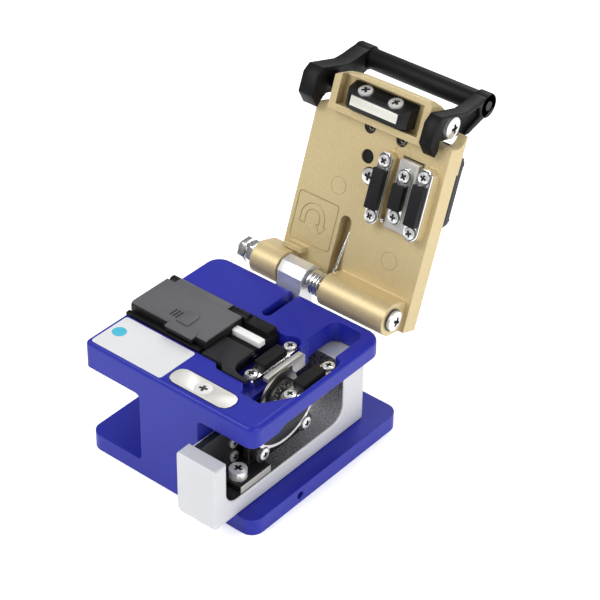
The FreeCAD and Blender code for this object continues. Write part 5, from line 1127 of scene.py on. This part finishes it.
# --------------------
# Fibre holder: black moulded base in the deck's groove, a grey scale plate and a white slide
# bar on it, and a grey flap that a pin hinges at the back.
holder_black = moulded("holder_black", "black_plastic", (0.006, 0.006, 0.007), 0.40,
                       (0.045, 0.045, 0.050))
holder_grey = moulded("holder_grey", "black_plastic", (0.110, 0.110, 0.118), 0.46,
                      (0.150, 0.150, 0.160))
flap_low, flap_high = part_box("holder_flap")
# Below its top, the flap is painted near black: painted shade on its sides.
holder_grey.colour(holder_grey.mixed(holder_grey.along(2).above(flap_high.z - 0.5 * MM),
                                     (0.012, 0.012, 0.013), holder_grey.tone))
scale_grey = moulded("scale_grey", "black_plastic", (0.020, 0.020, 0.023), 0.44,
                     (0.060, 0.060, 0.066))
slide_white = moulded("slide_white", "bright_steel", (0.82, 0.82, 0.82), 0.38,
                      (0.95, 0.95, 0.95))
edged("holder_base", holder_black, "holder", 0.14 * MM)
edged("holder_scale_plate", scale_grey, "holder", 0.20 * MM)
edged("holder_slide_bar", slide_white, "holder", 0.20 * MM)
edged("holder_flap_pin", chrome, "holder", 0.10 * MM)
edged("holder_flap", holder_grey, "flap", 0.14 * MM)

# Dark print fills the scale's marks; the same dark, as painted shade, covers the holes in which
# the handle's rod ends.
ROD_HOLE, HOLE_SHADE_FILM = 1.45 * MM, 0.03 * MM
ink_and_shade = inked("scale_ink", "black_plastic", 600, (0.003, 0.003, 0.003),
                 (0.008, 0.008, 0.008), roughness=0.6)
crosswise("handle_rod_hole_left", left_end, rod_axis, ROD_HOLE, HOLE_SHADE_FILM, ink_and_shade,
          outward=-RIGHTWARD)
crosswise("handle_rod_hole_right", right_high.x, rod_axis, ROD_HOLE, HOLE_SHADE_FILM, ink_and_shade)

# Scale marks: strokes along the plate's back edge and down its foot.
plate_low, plate_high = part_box("holder_scale_plate")
scale_marks = []
for step in range(11):
    inset = 1.3 if step % 5 else 1.7
    scale_marks.append(((plate_low.x + (2.2 + step) * MM, plate_high.y - inset * MM,
                         plate_high.z), BACKWARD))
for step in range(7):
    scale_marks.append(((plate_high.x - 1.1 * MM, plate_low.y + (0.9 + step * 0.7) * MM,
                         plate_high.z), RIGHTWARD))
mark_tree.made("scale_strokes", scale_marks, ink_and_shade, "holder", Length=1.3 * MM,
               Width=0.34 * MM, Height=0.05 * MM)


def film_cut(name, rim, low, high, soft=0.0):
    """A flat solid cut to an outline of x and y."""
    return prism(name, [(x, y, low) for x, y in rim], [(x, y, high) for x, y in rim], soft)


# The flap's thumb tongue stands a little proud, beside three ridges on its top that are painted
# dark: painted shade for a ribbed slot there.
FLAP_EDGE = flap_low.y + 1.8 * MM
THUMB_MIDDLE, THUMB_RADIUS, THUMB_SHORT, THUMB_LONG = 18.4 * MM, 2.2 * MM, 1.6 * MM, 5.6 * MM
thumb_x = BODY_LEFT + THUMB_MIDDLE
thumb_rim = [(thumb_x - THUMB_RADIUS, FLAP_EDGE + THUMB_SHORT),
             (thumb_x + THUMB_RADIUS, FLAP_EDGE + THUMB_SHORT),
             *arc(thumb_x, FLAP_EDGE + THUMB_LONG, THUMB_RADIUS, 0, 180, 10)]
thumb = film_cut("flap_thumb", thumb_rim, flap_high.z - 0.3 * MM, flap_high.z + 0.5 * MM,
                 soft=0.22 * MM)
finished(thumb, holder_grey, "flap")
ridges_at = [((BODY_LEFT + (12.9 + step * 1.1) * MM, FLAP_EDGE + 4.3 * MM, flap_high.z),
              BACKWARD) for step in range(3)]
mark_tree.made("flap_ridges", ridges_at, ink_and_shade, "flap", Length=3.2 * MM, Width=0.55 * MM,
               Height=0.12 * MM)


# --------------------
# Sticker: a blank white film on the deck's front left, rounded at its corners, with one plain
# pale-blue spot.
film = Finish("white_film", "blue_paint", coat_weight=0.3, coat_roughness=0.15)
film.colour(film.clouded(80, 3, (0.56, 0.565, 0.58), (0.62, 0.625, 0.635)))
film.rough(0.42 + film.noise(500, 2) * 0.1)
film.bump(film.noise(900, 2), 0.004 * MM)
spot_ink = inked("pale_blue_spot", "blue_paint", 500, (0.03, 0.36, 0.50),
                 (0.05, 0.42, 0.58), coat_weight=0.2)
deck_low, deck_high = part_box("body_casting")
STICKER_LEFT, STICKER_RIGHT = deck_low.x + 1.6 * MM, deck_low.x + 27.8 * MM
STICKER_FRONT, STICKER_BACK = deck_low.y + 0.9 * MM, deck_low.y + 15.4 * MM
sticker_rim = corners(STICKER_LEFT, STICKER_RIGHT, STICKER_FRONT, STICKER_BACK, 0.9 * MM)
finished(film_cut("sticker", sticker_rim, deck_high.z - 0.02 * MM, deck_high.z + 0.10 * MM),
         film, "base")
SPOT_X, SPOT_Y, SPOT_RADIUS = deck_low.x + 4.9 * MM, deck_low.y + 8.9 * MM, 2.15 * MM
spot_rim = arc(SPOT_X, SPOT_Y, SPOT_RADIUS, 0, 360, 28)[:-1]
finished(film_cut("sticker_spot", spot_rim, deck_high.z + 0.08 * MM, deck_high.z + 0.13 * MM),
         spot_ink, "base")
